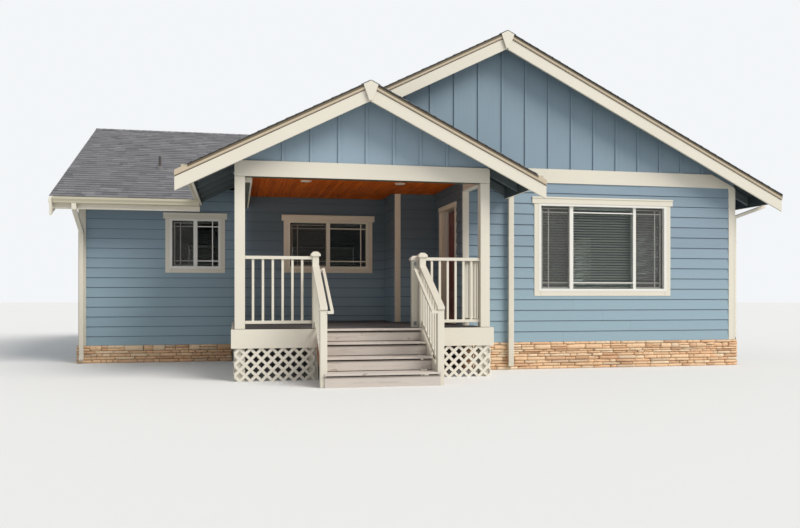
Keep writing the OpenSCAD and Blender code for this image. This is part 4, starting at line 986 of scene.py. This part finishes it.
STEPS, STEPS_MIDDLE, RISE, RUN = (1.205, 2.705), 1.955, 0.185, 0.335
porch, steps = (0 * UP, RIGHT, BACK), (-1.088 * BACK, RIGHT, BACK)
front = np.concatenate([[-0.009], np.arange(0.131, 3.6, 0.140)])
back = np.append(front[1:], 3.642) - 0.004
reach = np.where(back < 0.93, 3.801, np.where(back < 2.72, 3.642, 2.862))
spans = [(-0.009, r, f, b, 0.700, DECK_TOP) for r, f, b in zip(reach, front, back)]
boards("deck_boards", blocks(porch, spans), stained, "deck_wood", seed=81, bevel=0.003,
       nodes=("porch_deck",))
boards("deck_nosing", blocks(porch, (*STEPS, -0.083, -0.013, 0.708, DECK_TOP)), weathered,
       "deck_wood", seed=82, bevel=0.004)
spans = [(1.163, 2.747, 0.0, 0.043, 0.159, 0.185), (*STEPS, 0.0431, 0.174, 0.159, 0.185),
         (*STEPS, 0.180, 0.350, 0.159, 0.185)]
spans += [(*STEPS, RUN * k + a, RUN * k + b, RISE * k + 0.159, RISE * k + 0.185)
          for k in (1, 2) for a, b in ((0.0, 0.172), (0.178, 0.350))]
boards("tread_boards", blocks(steps, spans), weathered, "deck_wood", seed=84, bevel=0.004,
       nodes=("stair_treads",))
spans = [(1.168, 2.742, 0.026, 0.044, 0.0, 0.143)]
spans += [(*STEPS, RUN * k + 0.026, RUN * k + 0.044, RISE * k + 0.008, RISE * k + top)
          for k, top in ((1, 0.141), (2, 0.141), (3, 0.134))]
# rise runs from 0 at each riser's foot to 1 at its top, for the painted shadow under the nosing.
boards("riser_boards", blocks(steps, spans), weathered, "deck_wood", seed=87,
       nodes=("stair_risers",), rise=np.tile([0.0, 1.0], (len(spans), 4)))

stringer_paint, w = begin("stained and painted stringers")
grain = w.noise(2.0, (6.0, 1.0, 6.0), 5.0)
stain = w.mix((0.20, 0.065, 0.028), (0.31, 0.11, 0.05), grain)
outside = w.sum("ABSOLUTE", w.at(0) - STEPS_MIDDLE) > 0.787
w.finish(w.mix(trim_colour(w)[0], stain, outside), 0.6, grain, 0.001)
dress("stair_stringers", stringer_paint, 0.003)


# Porch ceiling: tongued boards 89 mm wide running to the front, stained red brown, with two
# small round lamps let into them.
cedar, w = begin("stained ceiling boards")
grain = w.noise(1.4, (22.0, 1.0, 22.0), 6.0)
shade = w.mix((0.60, 0.105, 0.006), (0.82, 0.170, 0.012), w.point("tone"))
shade = w.mix(shade, (0.33, 0.060, 0.006), (grain > 0.56) * 0.5)
w.finish(shade, 0.6, grain, 0.0008, Specular_IOR_Level=0.15)
left = np.arange(0.050, 3.74, 0.089)
right = np.minimum(left + 0.086, 3.742)
reach = np.where(right < 2.864, 3.643, np.where(right < 3.644, 2.716, 0.957))
spans = [(a, b, 0.148, far, CEILING, CEILING + 0.018) for a, b, far in zip(left, right, reach)]
boards("ceiling_boards", blocks(porch, spans), cedar, "ceiling_wood", seed=91, bevel=0.003,
       nodes=("porch_ceiling",))


def turned(centre, profile, sides=32):
    """A closed profile of (radius, height) points turned about an upright line."""
    angle = np.arange(sides) * (2 * np.pi / sides)
    r, z = np.array(profile).T[..., None]
    points = np.stack([r * np.cos(angle), r * np.sin(angle), z + 0 * angle], axis=-1) + centre
    a = np.arange(len(r) * sides).reshape(-1, sides)
    b = np.roll(a, -1, axis=1)
    quads = np.stack([a, b, np.roll(b, -1, axis=0), np.roll(a, -1, axis=0)], axis=-1)
    return points.reshape(-1, 3), quads.reshape(-1, 4).tolist()


RIM = [(0.052, -0.004), (0.060, -0.009), (0.085, -0.009), (0.090, -0.002), (0.090, 0.001),
       (0.052, 0.001)]
LENS = [(0.002, -0.005), (0.050, -0.003), (0.050, 0.000), (0.002, 0.000)]
lamps = [turned((x, 1.403, CEILING), part) for x in (1.134, 2.690) for part in (RIM, LENS)]
surface("ceiling_lamps", *joined(lamps), vinyl, "vinyl")


# Lattice under the porch: two layers of thin painted laths crossing at 45 degrees, 153 mm
# apart, stapled where they cross and nailed to the posts and rim behind them.
lattice_paint = grained("lattice paint", (0.70, 0.66, 0.565), (0.77, 0.73, 0.635), 0.6, 0.0008,
                        14.0)
PITCH, LATTICE_TOP = 0.153, 0.469


def lattice(name, start, along, out, length, seed, nodes=()):
    """Laths of both layers, each a board along the slope (1, 1) or (-1, 1) in the plane of
    along and up, cut off at the panel's four edges."""
    start, top = np.array(start), LATTICE_TOP * UP
    count = int(np.ceil((length + LATTICE_TOP) / PITCH)) + 1
    foot = (PITCH * np.arange(-int(LATTICE_TOP / PITCH) - 1, count) + 0.068)[:, None] * along
    made = []
    for side, level in ((1, 0.008), (-1, 0.0)):
        slope = side * along + UP
        across = 0.042 * (UP - side * along) / np.sqrt(2)
        low = start + foot - 0.05 * slope + level * out - across / 2
        low = low + LATTICE_TOP * along * (side < 0)
        made.append(beams(low, low + (LATTICE_TOP + 0.1) * slope, across, 0.0079 * out))
    piece = boards(name, np.concatenate(made), lattice_paint, "trim", seed=seed, nodes=nodes)
    cut(piece, [(start, -along), (start + length * along, along), (start, -UP),
                (start + top, UP)])


lattice("lattice_left_of_steps", (0, -0.010, 0), RIGHT, -BACK, 1.143, 95, ("lattice_skirt",))
lattice("lattice_right_of_steps", (2.767, -0.010, 0), RIGHT, -BACK, 1.025, 96)
lattice("lattice_left_side", (0.006, -0.008, 0), BACK, -RIGHT, 3.590, 97)
lattice("lattice_right_side", (3.786, -0.008, 0), BACK, RIGHT, 0.929, 98)

spans = [(x, x + 0.14, y, y + 0.14, 0.0, 0.699)
         for x, y in ((0.010, 0.010), (3.642, 0.010), (0.010, 1.80), (0.010, 3.40), (1.05, 0.010),
                      (2.72, 0.010))]
boards("skirt_posts", blocks(porch, spans), trim_paint, "trim", seed=99, bevel=0.004)


# Brackets: two bent plates of zinc-coated steel that stay screwed to the inner newel, bare
# and dull, with a faint spangle.
zinc = grained("zinc plate", (0.20, 0.20, 0.205), (0.34, 0.34, 0.345), 0.5, 0.0003,
               45.0, (1.0, 1.0, 1.0), 2.0, Metallic=0.6)
newel = ((2.667, 0.1685, 0), RIGHT, BACK)
boards("newel_brackets", blocks(newel, [(-0.022, 0.022, -0.005, 0.0, z - 0.028, z + 0.028)
                                        for z in (0.805, 1.700)]), zinc, "handle_metal",
       bevel=0.0015)
